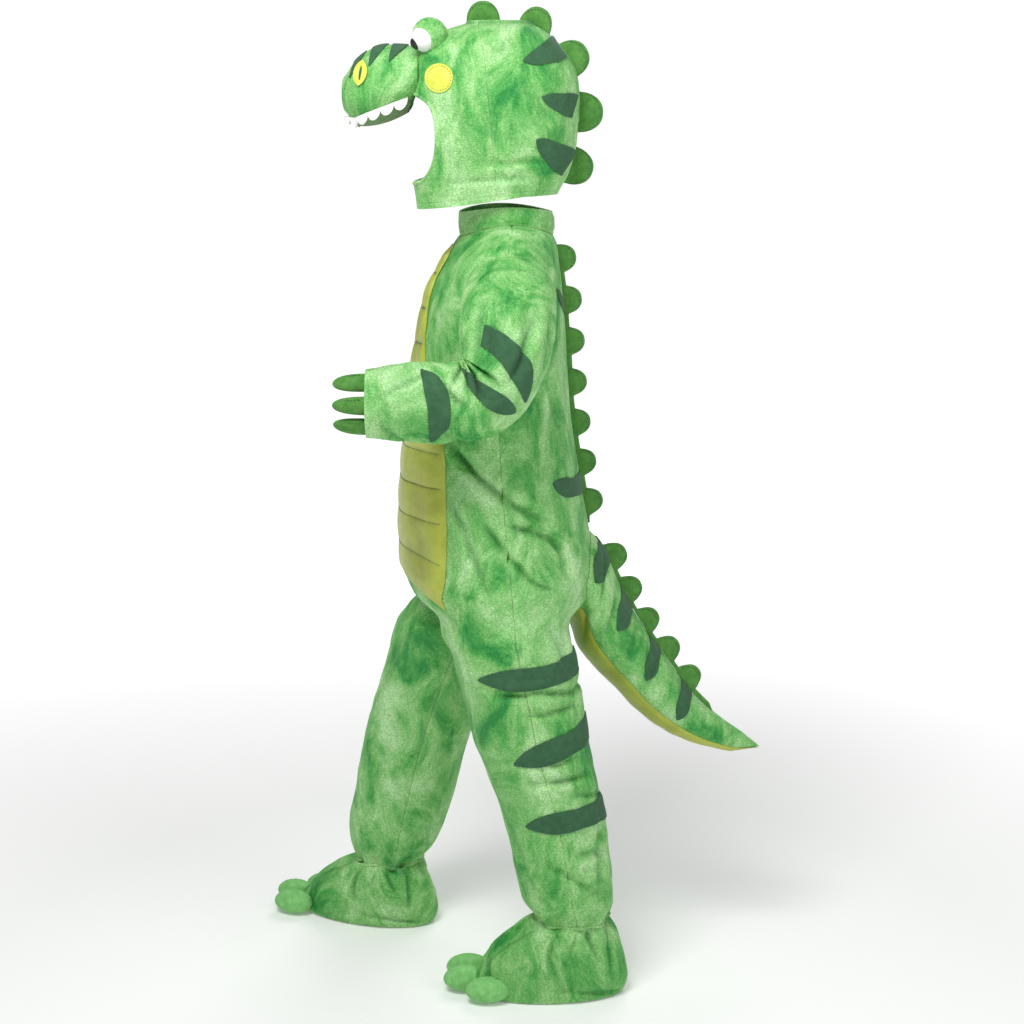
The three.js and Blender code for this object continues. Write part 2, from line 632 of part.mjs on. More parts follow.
function addStripes() {
  for (const name of Object.keys(SIDES)) {
    LEG_STRIPES.forEach((stripe, index) => {
      const wall = clothWall({
        point: stripeSurface(stripe, (a, b) => bodyPoint(name, a, b), [LEG_GIRTH, 1], false),
        core: () => bodyCentre(name, stripe.b2),
        across: STRIPE_COLUMNS_ACROSS,
        along: 1,
        thick: APPLIQUE,
        lift: SEAM + FACET_DEPTH.leg,
      });
      addNode(`leg_stripe_${name}_${index + 1}`, wall, 'stripe');
    });
    SLEEVE_STRIPES.forEach((stripe, index) => {
      const host = (a, b) => sleevePoint(name, b, 2 * Math.PI * a);
      const wall = clothWall({
        point: stripeSurface(stripe, host, [SLEEVE_GIRTH, SLEEVE_SECTION], index < 2),
        core: () => sleeveCentre(name, stripe.b2),
        across: STRIPE_COLUMNS_ACROSS,
        along: 1,
        thick: APPLIQUE,
        lift: SEAM + FACET_DEPTH.sleeve,
      });
      addNode(`sleeve_stripe_${name}_${index + 1}`, wall, 'stripe');
    });
  }
}

// Three padded claws, one piece, sewn inside the outer side of a cuff
function addClaws() {
  for (const name of Object.keys(SIDES)) {
    const last = SLEEVES[name].length - 1;
    const { along } = sleeveFrame(SLEEVES[name], last);
    along.x *= SIDES[name];
    const centre = sleeveCentre(name, last);
    const claws = [-CLAW.spread, 0, CLAW.spread].map((degrees) => {
      const angle = THREE.MathUtils.degToRad(degrees);
      const root = sleevePoint(name, last, angle, -PLUSH - SEAM - CLAW.thick);
      const out = root.clone().sub(centre).normalize();
      const side = new THREE.Vector3().crossVectors(along, out).normalize();
      const middleAt = (t) => root.clone()
        .addScaledVector(along, mix(-CLAW.sunk, CLAW.long, t))
        .addScaledVector(out, -CLAW.droop * t * t);
      const rings = CLAW_STEPS.map((t) => Array.from({ length: CLAW.sides }, (_, i) => {
        const turn = (2 * Math.PI * i) / CLAW.sides;
        return middleAt(t)
          .addScaledVector(side, CLAW.root * Math.sqrt(1 - t ** 2.2) * Math.cos(turn))
          .addScaledVector(out, CLAW.thick * Math.sqrt(1 - t ** 2.4) * Math.sin(turn));
      }));
      return loft([...rings, [middleAt(1)]]);
    });
    const reach = CLAW.spread + 8;
    const band = clothWall({
      point: (u, v) => sleevePoint(name, last - 0.2 + 0.15 * v,
        THREE.MathUtils.degToRad(mix(-reach, reach, u)), -PLUSH - SEAM),
      core: () => centre,
      across: 6,
      along: 1,
      thick: CLAW.band,
      lift: -CLAW.band,
    });
    const joined = claws.map(toSolid).reduce((sum, solid) => sum.add(solid), toSolid(band));
    const wall = toSolid(sleeveTube(name));
    const spare = toSolid(clothWall({
      point: (u, v) => sleevePoint(name, last - 1 + v, 2 * Math.PI * u, SEAM),
      core: (u, v) => sleeveCentre(name, last - 1 + v),
      across: SLEEVE_COLUMNS,
      along: 1,
      closed: true,
      thick: PLUSH + 2 * SEAM,
      lift: -PLUSH - 2 * SEAM,
    }));
    addNode(`claws_${name}`, toGeometry(joined.subtract(wall).subtract(spare)), 'felt');
  }
}

// Foot covers, each in a frame of its own: forward is -y in it
function addFeet() {
  for (const [name, foot] of Object.entries(FEET)) {
    const group = new THREE.Group();
    group.position.set(foot.x, foot.y, 0);
    group.rotation.z = THREE.MathUtils.degToRad(foot.turn);
    standing.add(group);
    const drop = ANKLE[name] - FOOT[0].z - SEAM;
    const point = (u, v) => {
      const z = mix(FOOT[0].z, FOOT[FOOT.length - 1].z, v);
      const row = at(FOOT, 'z', z);
      const angle = 2 * Math.PI * u;
      const low = smooth((z - (FOOT[0].z - GATHER_HEIGHT)) / GATHER_HEIGHT);
      const pleat = ANKLE_PLEAT_DEPTH * low * Math.cos(ANKLE_PLEATS * angle);
      const reach = (row.front - row.back) / 2;
      return new THREE.Vector3(
        (row.half + pleat) * Math.sin(angle),
        -((row.front + row.back) / 2 + (reach + pleat) * Math.cos(angle)),
        z + drop * smooth((z - 40) / 50));
    };
    const [across, along] = [24, 5];
    const core = (u, v) => new THREE.Vector3(0, -20, mix(FOOT[0].z, FLOOR, v));
    addNode(`foot_${name}`, clothWall({ point, core, across, along, closed: true }), 'plush', group);
    const ringAt = (j) => Array.from({ length: across }, (_, i) => {
      const [u, v] = [i / across, j / along];
      return point(u, v).addScaledVector(normalOf(point, u, v, core, true), SEAM);
    });
    const filled = toSolid(loft(Array.from({ length: along + 1 }, (_, j) => ringAt(j))));
    foot.toes.forEach(([x, forward], index) => {
      const toe = new THREE.SphereGeometry(1, 8, 5);
      toe.scale(TOE.wide, TOE.long, TOE.high);
      toe.translate(x, -forward, FLOOR + TOE.high + TOE.clear);
      addNode(`toe_${name}_${index + 1}`, cut(toe, filled), 'toe', group);
    });
    const strapPoint = (u, v) => {
      const share = mix(-1, 1, u);
      const rise = Math.max(Math.abs(share) - STRAP.flat, 0) / (1 - STRAP.flat);
      return new THREE.Vector3(
        STRAP.reach * clamp(share / STRAP.full, -1, 1),
        -STRAP.forward + STRAP.half * (2 * v - 1),
        FLOOR + STRAP.high + STRAP.rise * rise ** 1.4);
    };
    addNode(`strap_${name}`, clothWall({
      point: strapPoint,
      core: () => new THREE.Vector3(0, -STRAP.forward, FLOOR + 30),
      across: 10,
      along: 1,
      thick: STRAP.thick,
      lift: -STRAP.thick / 2,
    }), 'elastic', group);
  }
}

const TAIL_STEPS = [0, 0.8, 1.6, 2.4, 3.3, 4.2, 5.1, 6, 7, 8];

function tailFrame(k) {
  const row = atRow(TAIL, k);
  const top = new THREE.Vector3(0, row.topY, row.topZ);
  const low = new THREE.Vector3(0, row.lowY, row.lowZ);
  const middle = top.clone().add(low).divideScalar(2);
  return { middle, up: top.sub(low).divideScalar(2), half: row.half };
}

// The whole tail, grown a little, which cuts what is seated on it
function tailCore() {
  const around = 20;
  const rings = TAIL_STEPS.map((k) => {
    const { middle, up, half } = tailFrame(k);
    const high = up.length() + SEAM;
    return Array.from({ length: around }, (_, i) => {
      const angle = (2 * Math.PI * i) / around;
      return middle.clone().addScaledVector(up.clone().normalize(), high * Math.cos(angle))
        .setX((half + SEAM) * Math.sin(angle));
    });
  });
  return toSolid(loft(rings));
}

// A stuffed tail in three pieces that share one section. Each is a sector of it, and its inner edge
// stays a little off the middle line.
function addTail() {
  const [trim, heartGap, tipGap] = [0.35, 0.9, 1.2];
  const split = TAIL_UNDERSIDE_ANGLE;
  const ringFor = (k, from, to, gap) => {
    const { middle, up, half } = tailFrame(k);
    const count = 6;
    const arc = Array.from({ length: count + 1 }, (_, i) => {
      const angle = THREE.MathUtils.degToRad(mix(from, to, i / count));
      return middle.clone().addScaledVector(up, Math.cos(angle)).setX(half * Math.sin(angle));
    });
    const bisector = THREE.MathUtils.degToRad((from + to) / 2);
    const heart = middle.clone().addScaledVector(up.clone().normalize(), gap * Math.cos(bisector));
    return [...arc, heart.setX(gap * Math.sin(bisector))];
  };
  const pieces = [
    ['tail_left', trim, split - trim, 'plush'],
    ['tail_underside', split + trim, 360 - split - trim, 'satin'],
    ['tail_right', 360 - split + trim, 360 - trim, 'plush'],
  ];
  for (const [name, from, to, finish] of pieces) {
    const rings = TAIL_STEPS.map((k) => ringFor(k, from, to, heartGap));
    const bisector = THREE.MathUtils.degToRad((from + to) / 2);
    const tip = new THREE.Vector3(
      tipGap * Math.sin(bisector), TAIL_TIP.y, TAIL_TIP.z + tipGap * Math.cos(bisector));
    addNode(name, cut(loft([...rings, [tip]]), ...cores), finish);
  }
}

// A padded strip in the centre plane whose outer edge rises in round points. Its base starts
// below the surface that it is seated on, and is then cut to that surface.
function spikeStrip(curve, bumps, strip, steps) {
  const length = curve.getLength();
  const rings = [];
  for (let i = 0; i <= steps; i++) {
    const t = i / steps;
    const place = curve.getPointAt(t);
    const along = curve.getTangentAt(t);
    const out = new THREE.Vector3(0, -along.z, along.y);
    const high = Math.max(strip, ...bumps.map(({ middle, half, high: top }) => {
      const away = Math.abs(t * length - middle) / half;
      return away < 1 ? top * Math.sqrt(1 - away ** 2.3) : 0;
    }));
    const thick = SPIKE_THICK * mix(0.75, 1, Math.min(high / SPIKE_FULL, 1));
    rings.push(SPIKE_SECTION.map(([x, y]) => place.clone()
      .addScaledVector(out, y === 0 ? -SPIKE_SUNK : high * y)
      .setX(x * thick)));
  }
  return loft(rings);
}

function addSpine() {
  const curveOf = (points) => new THREE.CatmullRomCurve3(
    points.map(([y, z]) => new THREE.Vector3(0, y, z)));
  const bumpsOf = ({ first, pitch, count, half, high }) => Array.from({ length: count }, (_, i) => (
    { middle: first + pitch * i, half, high }));
  const back = spikeStrip(curveOf(SPINE_BACK), bumpsOf(SPINE_BACK_BUMPS), SPINE_STRIP, 34);
  addNode('spine_back', cut(back, ...cores), 'felt');
  const rows = SPINE_TAIL_STEPS.map((k) => atRow(TAIL, k));
  const line = curveOf(rows.map((row) => [row.topY, row.topZ]));
  const tail = spikeStrip(line, bumpsOf(SPINE_TAIL_BUMPS), SPINE_STRIP, 26);
  addNode('spine_tail', cut(tail, ...cores, tailCore()), 'felt');
}

// A sine or cosine pushed out towards a squarer round
function rounded(value, power) {
  return Math.sign(value) * Math.abs(value) ** (2 / power);
}

// Hood
function hoodRow(z) {
  return at(HOOD, 'z', z);
}

function hoodRing(z, grow, around) {
  const row = hoodRow(z);
  const reach = (row.back - row.front) / 2;
  return Array.from({ length: around }, (_, i) => {
    const angle = (2 * Math.PI * i) / around;
    return new THREE.Vector3((row.half + grow) * rounded(Math.sin(angle), HOOD_ROUND),
      (row.front + row.back) / 2 - (reach + grow) * rounded(Math.cos(angle), HOOD_ROUND), z);
  });
}

// The filled hood, its surface moved out by grow
function hoodSolid(grow, bottom) {
  const around = 22;
  const heights = [...HOOD_LEVELS, bottom];
  const rings = heights.map((z) => {
    const lean = smooth((z - 1090) / 75);
    return hoodRing(z, grow * mix(1, 0.75, lean), around).map((p) => p.setZ(z + grow * lean));
  });
  return toSolid(loft([[new THREE.Vector3(0, CROWN.y, CROWN.z + grow)], ...rings]));
}

// The side of the hood at a place seen from the side, with its normal
function hoodPlace(side, y, z) {
  const row = hoodRow(z);
  const [middle, reach] = [(row.front + row.back) / 2, (row.back - row.front) / 2];
  const share = clamp((y - middle) / reach, -0.999, 0.999);
  const x = row.half * (1 - Math.abs(share) ** HOOD_ROUND) ** (1 / HOOD_ROUND);
  const steep = HOOD_ROUND - 1;
  const normal = new THREE.Vector3(side * (x / row.half) ** steep / row.half,
    Math.sign(share) * Math.abs(share) ** steep / reach, 0.0004).normalize();
  return { point: new THREE.Vector3(side * x, y, z), normal };
}

function snoutPoint(y, angle, grow = 0) {
  const row = at(SNOUT, 'y', y);
  const [middle, high] = [(row.top + row.bottom) / 2, (row.top - row.bottom) / 2];
  return new THREE.Vector3((row.half + grow) * rounded(Math.sin(angle), SNOUT_ROUND), y,
    middle + (high + grow) * rounded(Math.cos(angle), SNOUT_ROUND));
}

function lipHeight(y) {
  return mix(LIP_REAR.z, LIP_FRONT.z, (y - LIP_REAR.y) / (LIP_FRONT.y - LIP_REAR.y));
}

// Half width of the snout at the lip seam, nought where the seam closes at the front
function lipHalf(y, height = lipHeight(y)) {
  const row = at(SNOUT, 'y', y);
  const [middle, high] = [(row.top + row.bottom) / 2, (row.top - row.bottom) / 2];
  const drop = Math.min(Math.abs(height - middle) / high, 1);
  return row.half * (1 - drop ** SNOUT_ROUND) ** (1 / SNOUT_ROUND);
}

const hoodCore = hoodSolid(SEAM, 930);

function snoutSolid(grow = 0) {
  const around = 18;
  const rings = SNOUT_STEPS.map((y) => Array.from({ length: around }, (_, i) => (
    snoutPoint(y, (2 * Math.PI * i) / around, grow))));
  return loft([...rings, [new THREE.Vector3(0, SNOUT_TIP.y - grow, SNOUT_TIP.z)]]);
}

function addMouth() {
  const point = (u, v) => {
    const y = mix(MOUTH.rear, MOUTH.front, v);
    const row = at(SNOUT, 'y', y);
    const [middle, high] = [(row.top + row.bottom) / 2, (row.top - row.bottom) / 2];
    const x = lipHalf(y) * (2 * u - 1) * MOUTH.share;
    const drop = (1 - (Math.abs(x) / row.half) ** SNOUT_ROUND) ** (1 / SNOUT_ROUND);
    return new THREE.Vector3(x, y, middle - high * drop);
  };
  const wall = clothWall({
    point,
    core: (u, v) => new THREE.Vector3(0, mix(MOUTH.rear, MOUTH.front, v), NOSTRIL.z),
    across: 6,
    along: 5,
    thick: APPLIQUE,
    lift: SEAM + FACET_DEPTH.mouth,
  });
  addNode('mouth', cut(wall, hoodCore), 'olive', head);
}

// The teeth hang from the lip seam in one zigzag strip, round the front of the snout.
function addTeeth() {
  const off = 2 * SEAM + 1.2;
  const side = TEETH_STEPS.map((y) => [lipHalf(y) + off, y, lipHeight(y)]);
  const loop = [...side, NOSE_FRONT];
  const mirrored = loop.map(([x, y, z]) => [-x, y, z]).reverse();
  const lip = new THREE.CatmullRomCurve3([...loop, ...mirrored].map((p) => new THREE.Vector3(...p)));
  const point = (u, v) => {
    const place = lip.getPointAt(clamp(u, 0, 1));
    const zigzag = 1 - Math.abs(((u * TEETH) % 1) * 2 - 1);
    return place.setZ(place.z - v * (TOOTH_ROOT + TOOTH_HEIGHT * zigzag) + 1);
  };
  const teeth = clothWall({
    point,
    core: () => new THREE.Vector3(0, -130, 1070),
    across: TEETH * 2,
    along: 1,
    thick: APPLIQUE,
    lift: SEAM,
  });
  const snoutCore = toSolid(snoutSolid(SEAM * CORE_SPARE));
  addNode('teeth', cut(teeth, hoodCore, snoutCore), 'white', head);
}

function addNostrils() {
  for (const [name, side] of Object.entries(SIDES)) {
    const place = (across, up) => {
      const near = (dy, dz) => {
        const [y, z] = [NOSTRIL.y + across + dy, NOSTRIL.z + up + dz];
        return new THREE.Vector3(side * lipHalf(y, z), y, z);
      };
      const normal = near(1, 0).sub(near(-1, 0)).cross(near(0, 1).sub(near(0, -1))).normalize();
      return { point: near(0, 0), normal: normal.x * side < 0 ? normal.negate() : normal };
    };
    const leaf = (angle) => {
      const [ahead, up] = [Math.cos(angle), Math.sin(angle)];
      return [NOSTRIL.half * ahead * Math.abs(ahead) ** 0.2 + NOSTRIL.lean * up, NOSTRIL.high * up];
    };
    const wall = patch(place, leaf, { around: 10, lift: SEAM + FACET_DEPTH.head });
    addNode(`nostril_${name}`, wall, 'cheek', head);
  }
}

function ball(centre, [rx, ry, rz]) {
  const sphere = new THREE.SphereGeometry(1, 10, 6);
  sphere.rotateX(Math.PI / 2);
  sphere.scale(rx, ry, rz);
  sphere.translate(centre.x, centre.y, centre.z);
  return sphere;
}

function addEyes() {
  const snout = toSolid(snoutSolid(SEAM));
  const round = (radius) => [radius, radius, radius];
  for (const [name, side] of Object.entries(SIDES)) {
    const centre = new THREE.Vector3(side * EYE.x, EYE.y, EYE.z);
    const look = new THREE.Vector3(...EYE.look);
    look.x *= side;
    look.normalize();
    const white = centre.clone().addScaledVector(look, EYE.whiteAhead);
    const pupil = white.clone().addScaledVector(look, EYE.pupilAhead);
    const whiteGrown = toSolid(ball(white, round(EYE.white + SEAM)));
    const lid = cut(ball(centre, EYE.lid), hoodCore, whiteGrown, snout);
    addNode(`lid_${name}`, lid, 'plush', head);
    addNode(`ball_${name}`, cut(ball(white, round(EYE.white)), hoodCore, snout), 'white', head);
    const dark = cut(ball(pupil, round(EYE.pupil)), hoodCore, whiteGrown, snout);
    addNode(`pupil_${name}`, dark, 'black', head);
  }
}

function addHood() {
  const hollow = hoodSolid(-PLUSH, 900);
  const shell = hoodSolid(0, 930).subtract(hollow);
  const below = sidePrism([...HEM_LINE, [150, 972], [150, 880], [-200, 880], [-200, 951]], -150, 150);
  const opening = sidePrism([...FACE_EDGE, [-200, 1086], [-200, 983]], -150, 150);
  const open = shell.subtract(below).subtract(opening);
  const front = [...HOOD_SEAM.map(([y, z]) => [y - SEAM / 2, z]), [-300, 940], [-300, 1200]];
  const back = [...HOOD_SEAM.map(([y, z]) => [y + SEAM / 2, z]), [300, 940], [300, 1200]];
  const spans = { left: [SEAM / 2, 150], right: [-150, -SEAM / 2] };
  for (const [name, [x1, x2]] of Object.entries(spans)) {
    addNode(`face_${name}`, toGeometry(open.intersect(sidePrism(front, x1, x2))), 'plush', head);
    addNode(`hood_${name}`, toGeometry(open.intersect(sidePrism(back, x1, x2))), 'plush', head);
    const place = (across, up) => hoodPlace(SIDES[name], CHEEK.y + across, CHEEK.z + up);
    const round = (angle) => [CHEEK.radius * Math.cos(angle), CHEEK.radius * Math.sin(angle)];
    const cheek = patch(place, round, { around: 14, lift: SEAM + FACET_DEPTH.head });
    addNode(`cheek_${name}`, cheek, 'cheek', head);
  }
  HOOD_SPIKES.forEach(({ y1, z1, y2, z2, high }, index) => {
    const curve = new THREE.LineCurve3(new THREE.Vector3(0, y1, z1), new THREE.Vector3(0, y2, z2));
    const length = curve.getLength();
    const bump = [{ middle: length / 2, half: length / 2, high }];
    addNode(`hood_spike_${index + 1}`, cut(spikeStrip(curve, bump, 1.2, 9), hoodCore), 'felt', head);
  });
}

addJumpsuit();
addCollar();
addBelly();
addStripes();
addClaws();
addFeet();
addTail();
addSpine();
addHood();
addNode('snout', cut(snoutSolid(), hoodCore), 'plush', head);
addMouth();
addTeeth();
addNostrils();
addEyes();

export default costume;
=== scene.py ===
"""Looks of a child's dinosaur costume: a plush jumpsuit with a stuffed tail, felt spikes and a hood.

Lengths are millimetres and heights are above the floor until a piece is finished. The wearer
would face -Y, and +X is the wearer's left. The row frame's origin is the middle of the neck seam.
"""

import logging
import math
from dataclasses import dataclass
from enum import Enum
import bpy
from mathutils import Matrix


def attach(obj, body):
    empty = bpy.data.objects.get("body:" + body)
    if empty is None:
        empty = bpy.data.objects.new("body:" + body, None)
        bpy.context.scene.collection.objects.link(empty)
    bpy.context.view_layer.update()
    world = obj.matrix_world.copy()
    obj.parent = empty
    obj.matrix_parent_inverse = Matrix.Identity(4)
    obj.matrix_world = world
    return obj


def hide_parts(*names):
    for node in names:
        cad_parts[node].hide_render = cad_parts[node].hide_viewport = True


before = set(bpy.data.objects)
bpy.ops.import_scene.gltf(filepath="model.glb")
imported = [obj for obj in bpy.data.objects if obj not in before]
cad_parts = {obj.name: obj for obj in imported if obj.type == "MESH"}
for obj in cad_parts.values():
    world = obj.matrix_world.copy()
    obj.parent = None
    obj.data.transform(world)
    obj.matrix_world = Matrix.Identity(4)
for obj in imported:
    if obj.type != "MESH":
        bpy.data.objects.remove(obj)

from types import SimpleNamespace
from typing import Callable, Iterable, Sequence

import bmesh
import bpy
import numpy as np
from mathutils import Matrix, Vector, noise

LOG = logging.getLogger("costume")

MM = 0.001
NECK_HEIGHT = 930.0
NECK_SEAM = 922.0
FLOOR = 12.0
HIP = 495.0
CROTCH = 452.0
HEAD_TURN = math.radians(-6)

PLUSH = 3.0
SATIN = 1.2
FLEECE = 1.2
APPLIQUE = 1.1
SEAM = 0.3
SEAM_TRIM = 0.0006
SEAM_TUCK = 1.3
CORE_GROWTH = 1.3 * SEAM

LEG_GIRTH = 410.0
SLEEVE_GIRTH = 270.0
SLEEVE_SECTION = 28.0
FOOT_GIRTH = 430.0
TAIL_GIRTH = 330.0
TAIL_SECTION = 40.0
SNOUT_GIRTH = 340.0

GATHER_HEIGHT = 34.0
PLEAT_DEPTH = 2.7
PLEAT_WAVES = ((8, 1.0, 0.0), (13, 0.6, 1.1), (5, 0.45, 0.4))
SOFT_BUMP_SIZE = 44.0
SOFT_BUMP_FINER = 0.4
SOFT_BUMP_SHIFT = Vector((7, 3, 5))
SOFT_BUMP_HEIGHT = 2.5

CREASE_BLUR = 4
CREASE_GAIN = 5.5
CREASE_LONGEST = 9.0
CREASE_LEAST_SQUARE = 0.05
ROUNDNESS = 0.02
LEAST_CUT = 0.31

Place = Callable[[float, float], Vector]
Core = Callable[[Vector], Vector]


class Side(Enum):
    """The wearer's left (+X) and right (-X)."""

    LEFT = 1
    RIGHT = -1

    @property
    def word(self) -> str:
        """The side's name as the CAD nodes write it."""
        return self.name.lower()


class Finish(Enum):
    """A material, by the finish that a piece takes."""

    PLUSH = "plush"
    SATIN = "satin"
    FELT = "felt"
    STRIPE = "stripe"
    TOE = "toe"
    CHEEK = "cheek"
    OLIVE = "olive"
    WHITE = "white"
    BLACK = "black"
    ELASTIC = "elastic"


def mix(low: float, high: float, share: float) -> float:
    """A value between two others."""
    return low + (high - low) * share


def clamp(value: float, low: float = 0.0, high: float = 1.0) -> float:
    """A value held between two others."""
    return max(low, min(high, value))


def smooth(share: float) -> float:
    """Nought to one with level ends."""
    t = clamp(share)
    return t * t * (3 - 2 * t)


def span(low: float, high: float) -> tuple[float, float]:
    """The middle between two values, and half the distance between them."""
    return (low + high) / 2, (high - low) / 2


def rounded(value: float, power: float) -> float:
    """A sine or cosine pushed out towards a squarer round."""
    return math.copysign(abs(value) ** (2 / power), value)


class Table:
    """Sections of a form in named columns, joined by one smooth curve through the rows."""

    def __init__(self, columns: str, rows: Sequence[Sequence[float]], numbered: bool = False) -> None:
        """Args:
            columns: the columns' names, the key first.
            rows: one section for each row.
            numbered: True where the key is the row's own number.
        """
        data = np.array(rows, float)
        names = columns.split()
        if numbered:
            data = np.column_stack([np.arange(len(data)), data])
            names = ["number", *names]
        self.names = names
        self.rows = data if data[0, 0] < data[-1, 0] else data[::-1]
        self.keys = self.rows[:, 0]
        self.last = len(self.rows) - 1
        index = np.arange(len(self.rows))
        after = self.rows[np.minimum(index + 1, self.last)]
        before = self.rows[np.maximum(index - 1, 0)]
        self.slopes = (after - before) / (after[:, :1] - before[:, :1])
        self.seen: dict[float, SimpleNamespace] = {}

    def at(self, value: float) -> SimpleNamespace:
        """The section at a value of the key column."""
        if value not in self.seen:
            place = clamp(value, self.keys[0], self.keys[-1])
            i = int(clamp(np.searchsorted(self.keys, place, side="right") - 1, 0, self.last - 1))
            span = self.keys[i + 1] - self.keys[i]
            t = (place - self.keys[i]) / span
            pull = (1 - t) * self.slopes[i] - t * self.slopes[i + 1]
            found = mix(self.rows[i], self.rows[i + 1], t * t * (3 - 2 * t)) + span * t * (1 - t) * pull
            self.seen[value] = SimpleNamespace(**dict(zip(self.names, found.tolist())))
        return self.seen[value]


TORSO = Table("z side front back half", [
    [922, 936, -52, 58, 57], [912, 931, -59, 62, 80], [893, 921, -70, 64, 104],
    [870, 905, -83, 67, 121], [842, 872, -93, 69, 128], [811, 832, -100, 72, 128],
    [781, 790, -106, 74, 125], [735, 737, -114, 77, 124], [690, 690, -118, 82, 127],
    [645, 645, -122, 89, 132], [600, 600, -124, 97, 139], [560, 560, -124, 104, 144],
    [525, 525, -122, 108, 147], [508, 508, -118, 106, 148], [495, 495, -112, 103, 149],
    [475, 475, -104, 98, 150], [452, 452, -100, 90, 150],
])
LEG_COLUMNS = "z front back x r"
LEGS = {
    Side.LEFT: Table(LEG_COLUMNS, [
        [495, -88, 78, 74, 74], [475, -82, 74, 76, 76], [452, -76, 74, 78, 78],
        [435, -71, 75, 83, 74], [414, -66, 78, 87, 71], [380, -57, 84, 91, 68],
        [324, -43, 92, 95, 64], [258, -19, 106, 98, 60], [201, -4, 115, 100, 58],
        [141, 8, 121, 101, 56], [124, 17, 120, 102, 53], [108, 32, 112, 103, 42],
    ]),
    Side.RIGHT: Table(LEG_COLUMNS, [
        [495, -98, 76, 74, 74], [475, -108, 60, 76, 76], [452, -118, 44, 78, 78],
        [435, -126, 30, 84, 76], [400, -136, 12, 95, 72], [359, -146, -4, 104, 67],
        [305, -161, -22, 116, 63], [252, -172, -38, 126, 60], [186, -184, -53, 138, 57],
        [141, -190, -66, 145, 55], [116, -186, -78, 148, 51], [96, -176, -98, 149, 40],
    ]),
}
INSEAM = {side: Table("z inseam", [
    [row[0], -18 if row[0] > 445 else (row[1] + row[2]) / 2] for row in LEGS[side].rows
]) for side in Side}
ANKLE = {Side.LEFT: 108.0, Side.RIGHT: 96.0}

SLEEVE_COLUMNS = "x y z a b outX outZ"
SLEEVES = {
    Side.LEFT: Table(SLEEVE_COLUMNS, [
        [88, -4, 868, 42, 46, 0.2, 1], [118, -6, 860, 45, 52, 0.35, 1],
        [145, -10, 841, 45, 54, 0.75, 0.7], [161, -14, 819, 43, 54, 1, 0.35],
        [168, -17, 799, 41, 50, 1, 0.1], [170, -26, 773, 41, 46, 1, 0], [171, -45, 755, 41, 46, 1, 0],
        [171, -72, 748, 40, 45, 1, 0], [170, -100, 748, 40, 45, 1, 0],
        [167, -135, 748, 38, 43, 1, 0], [163, -171, 748, 33, 38, 1, 0],
    ], numbered=True),
    Side.RIGHT: Table(SLEEVE_COLUMNS, [
        [88, 0, 868, 42, 46, 0.2, 1], [118, 0, 860, 45, 52, 0.35, 1],
        [145, 0, 841, 45, 54, 0.75, 0.7], [161, 2, 816, 43, 52, 1, 0.35],
        [168, 3, 790, 41, 48, 1, 0.1], [170, 1, 760, 41, 46, 1, 0], [170, -8, 730, 41, 45, 1, 0],
        [169, -24, 698, 40, 45, 1, 0], [167, -43, 664, 39, 43, 1, 0], [163, -64, 626, 34, 38, 1, 0],
    ], numbered=True),
}
BELLY = Table("z edge", [
    [911, 10], [885, 16], [855, 24], [820, 38], [785, 53], [740, 76], [685, 100], [640, 107],
    [580, 114], [530, 113], [508, 106],
])
COLLAR_TOP = (950, 957, -53, 57, 58)
BELLY_TOP = 911.0
BELLY_BOTTOM = 508.0
BELLY_LINE_PITCH = 41.0

HOOD = Table("z front back half", [
    [1165, -43, 33, 36], [1158, -66, 46, 52], [1150, -84, 56, 63], [1140, -100, 66, 72],
    [1126, -107, 77, 81], [1103, -110, 86, 88], [1080, -111, 88, 90], [1055, -111, 87, 89],
    [1025, -110, 84, 85], [993, -107, 75, 78], [970, -104, 63, 72], [930, -100, 58, 68],
])
HOOD_ROUND = 2.5
CROWN = (-5.0, 1168.0)
FACE_EDGE = [(-104, 983), (-93, 987), (-84, 999), (-78, 1018), (-76, 1033), (-77, 1052),
             (-82, 1069), (-93, 1080), (-104, 1086)]
HEM_LINE = [(-130, 951), (-95, 954), (-49, 959), (22, 969), (90, 972)]
HOOD_SEAM = [(-31, 1200), (-29, 1160), (-22, 1126), (-10, 1000), (-7, 940)]
HOOD_SPIKES = [(-43, 1165, -4, 1168, 24), (17, 1167, 53, 1152, 25), (64, 1142, 86, 1105, 25),
               (88, 1088, 86, 1041, 29), (85, 1025, 70, 983, 28)]
SPIKE_THICK = 9.0
SPIKE_SUNK = 4.0
SPIKE_SECTION = [(-0.5, None), (-0.5, 0.25), (-0.45, 0.55), (-0.33, 0.8), (-0.14, 0.93), (0, 1),
                 (0.14, 0.93), (0.33, 0.8), (0.45, 0.55), (0.5, 0.25), (0.5, None)]

SNOUT = Table("y top bottom half", [
    [-98, 1136, 1080, 57], [-108, 1139, 1069, 61], [-124, 1141, 1060, 63], [-140, 1141, 1054, 62],
    [-155, 1136, 1051, 58], [-167, 1128, 1051, 51], [-177, 1117, 1056, 42], [-184, 1106, 1064, 30],
])
SNOUT_TIP = (-188.5, 1088.0)
SNOUT_ROUND = 2.2
LIP_REAR = (-104.0, 1082.0)
LIP_FRONT = (-173.0, 1056.0)
NOSE_FRONT = (13.0, -178.5, 1059.0)
TEETH = 13
TOOTH_HEIGHT = 10.0
NOSTRIL = (-163.0, 1108.0)
CHEEK = (-73.0, 1102.0)
CHEEK_RADIUS = 16.0

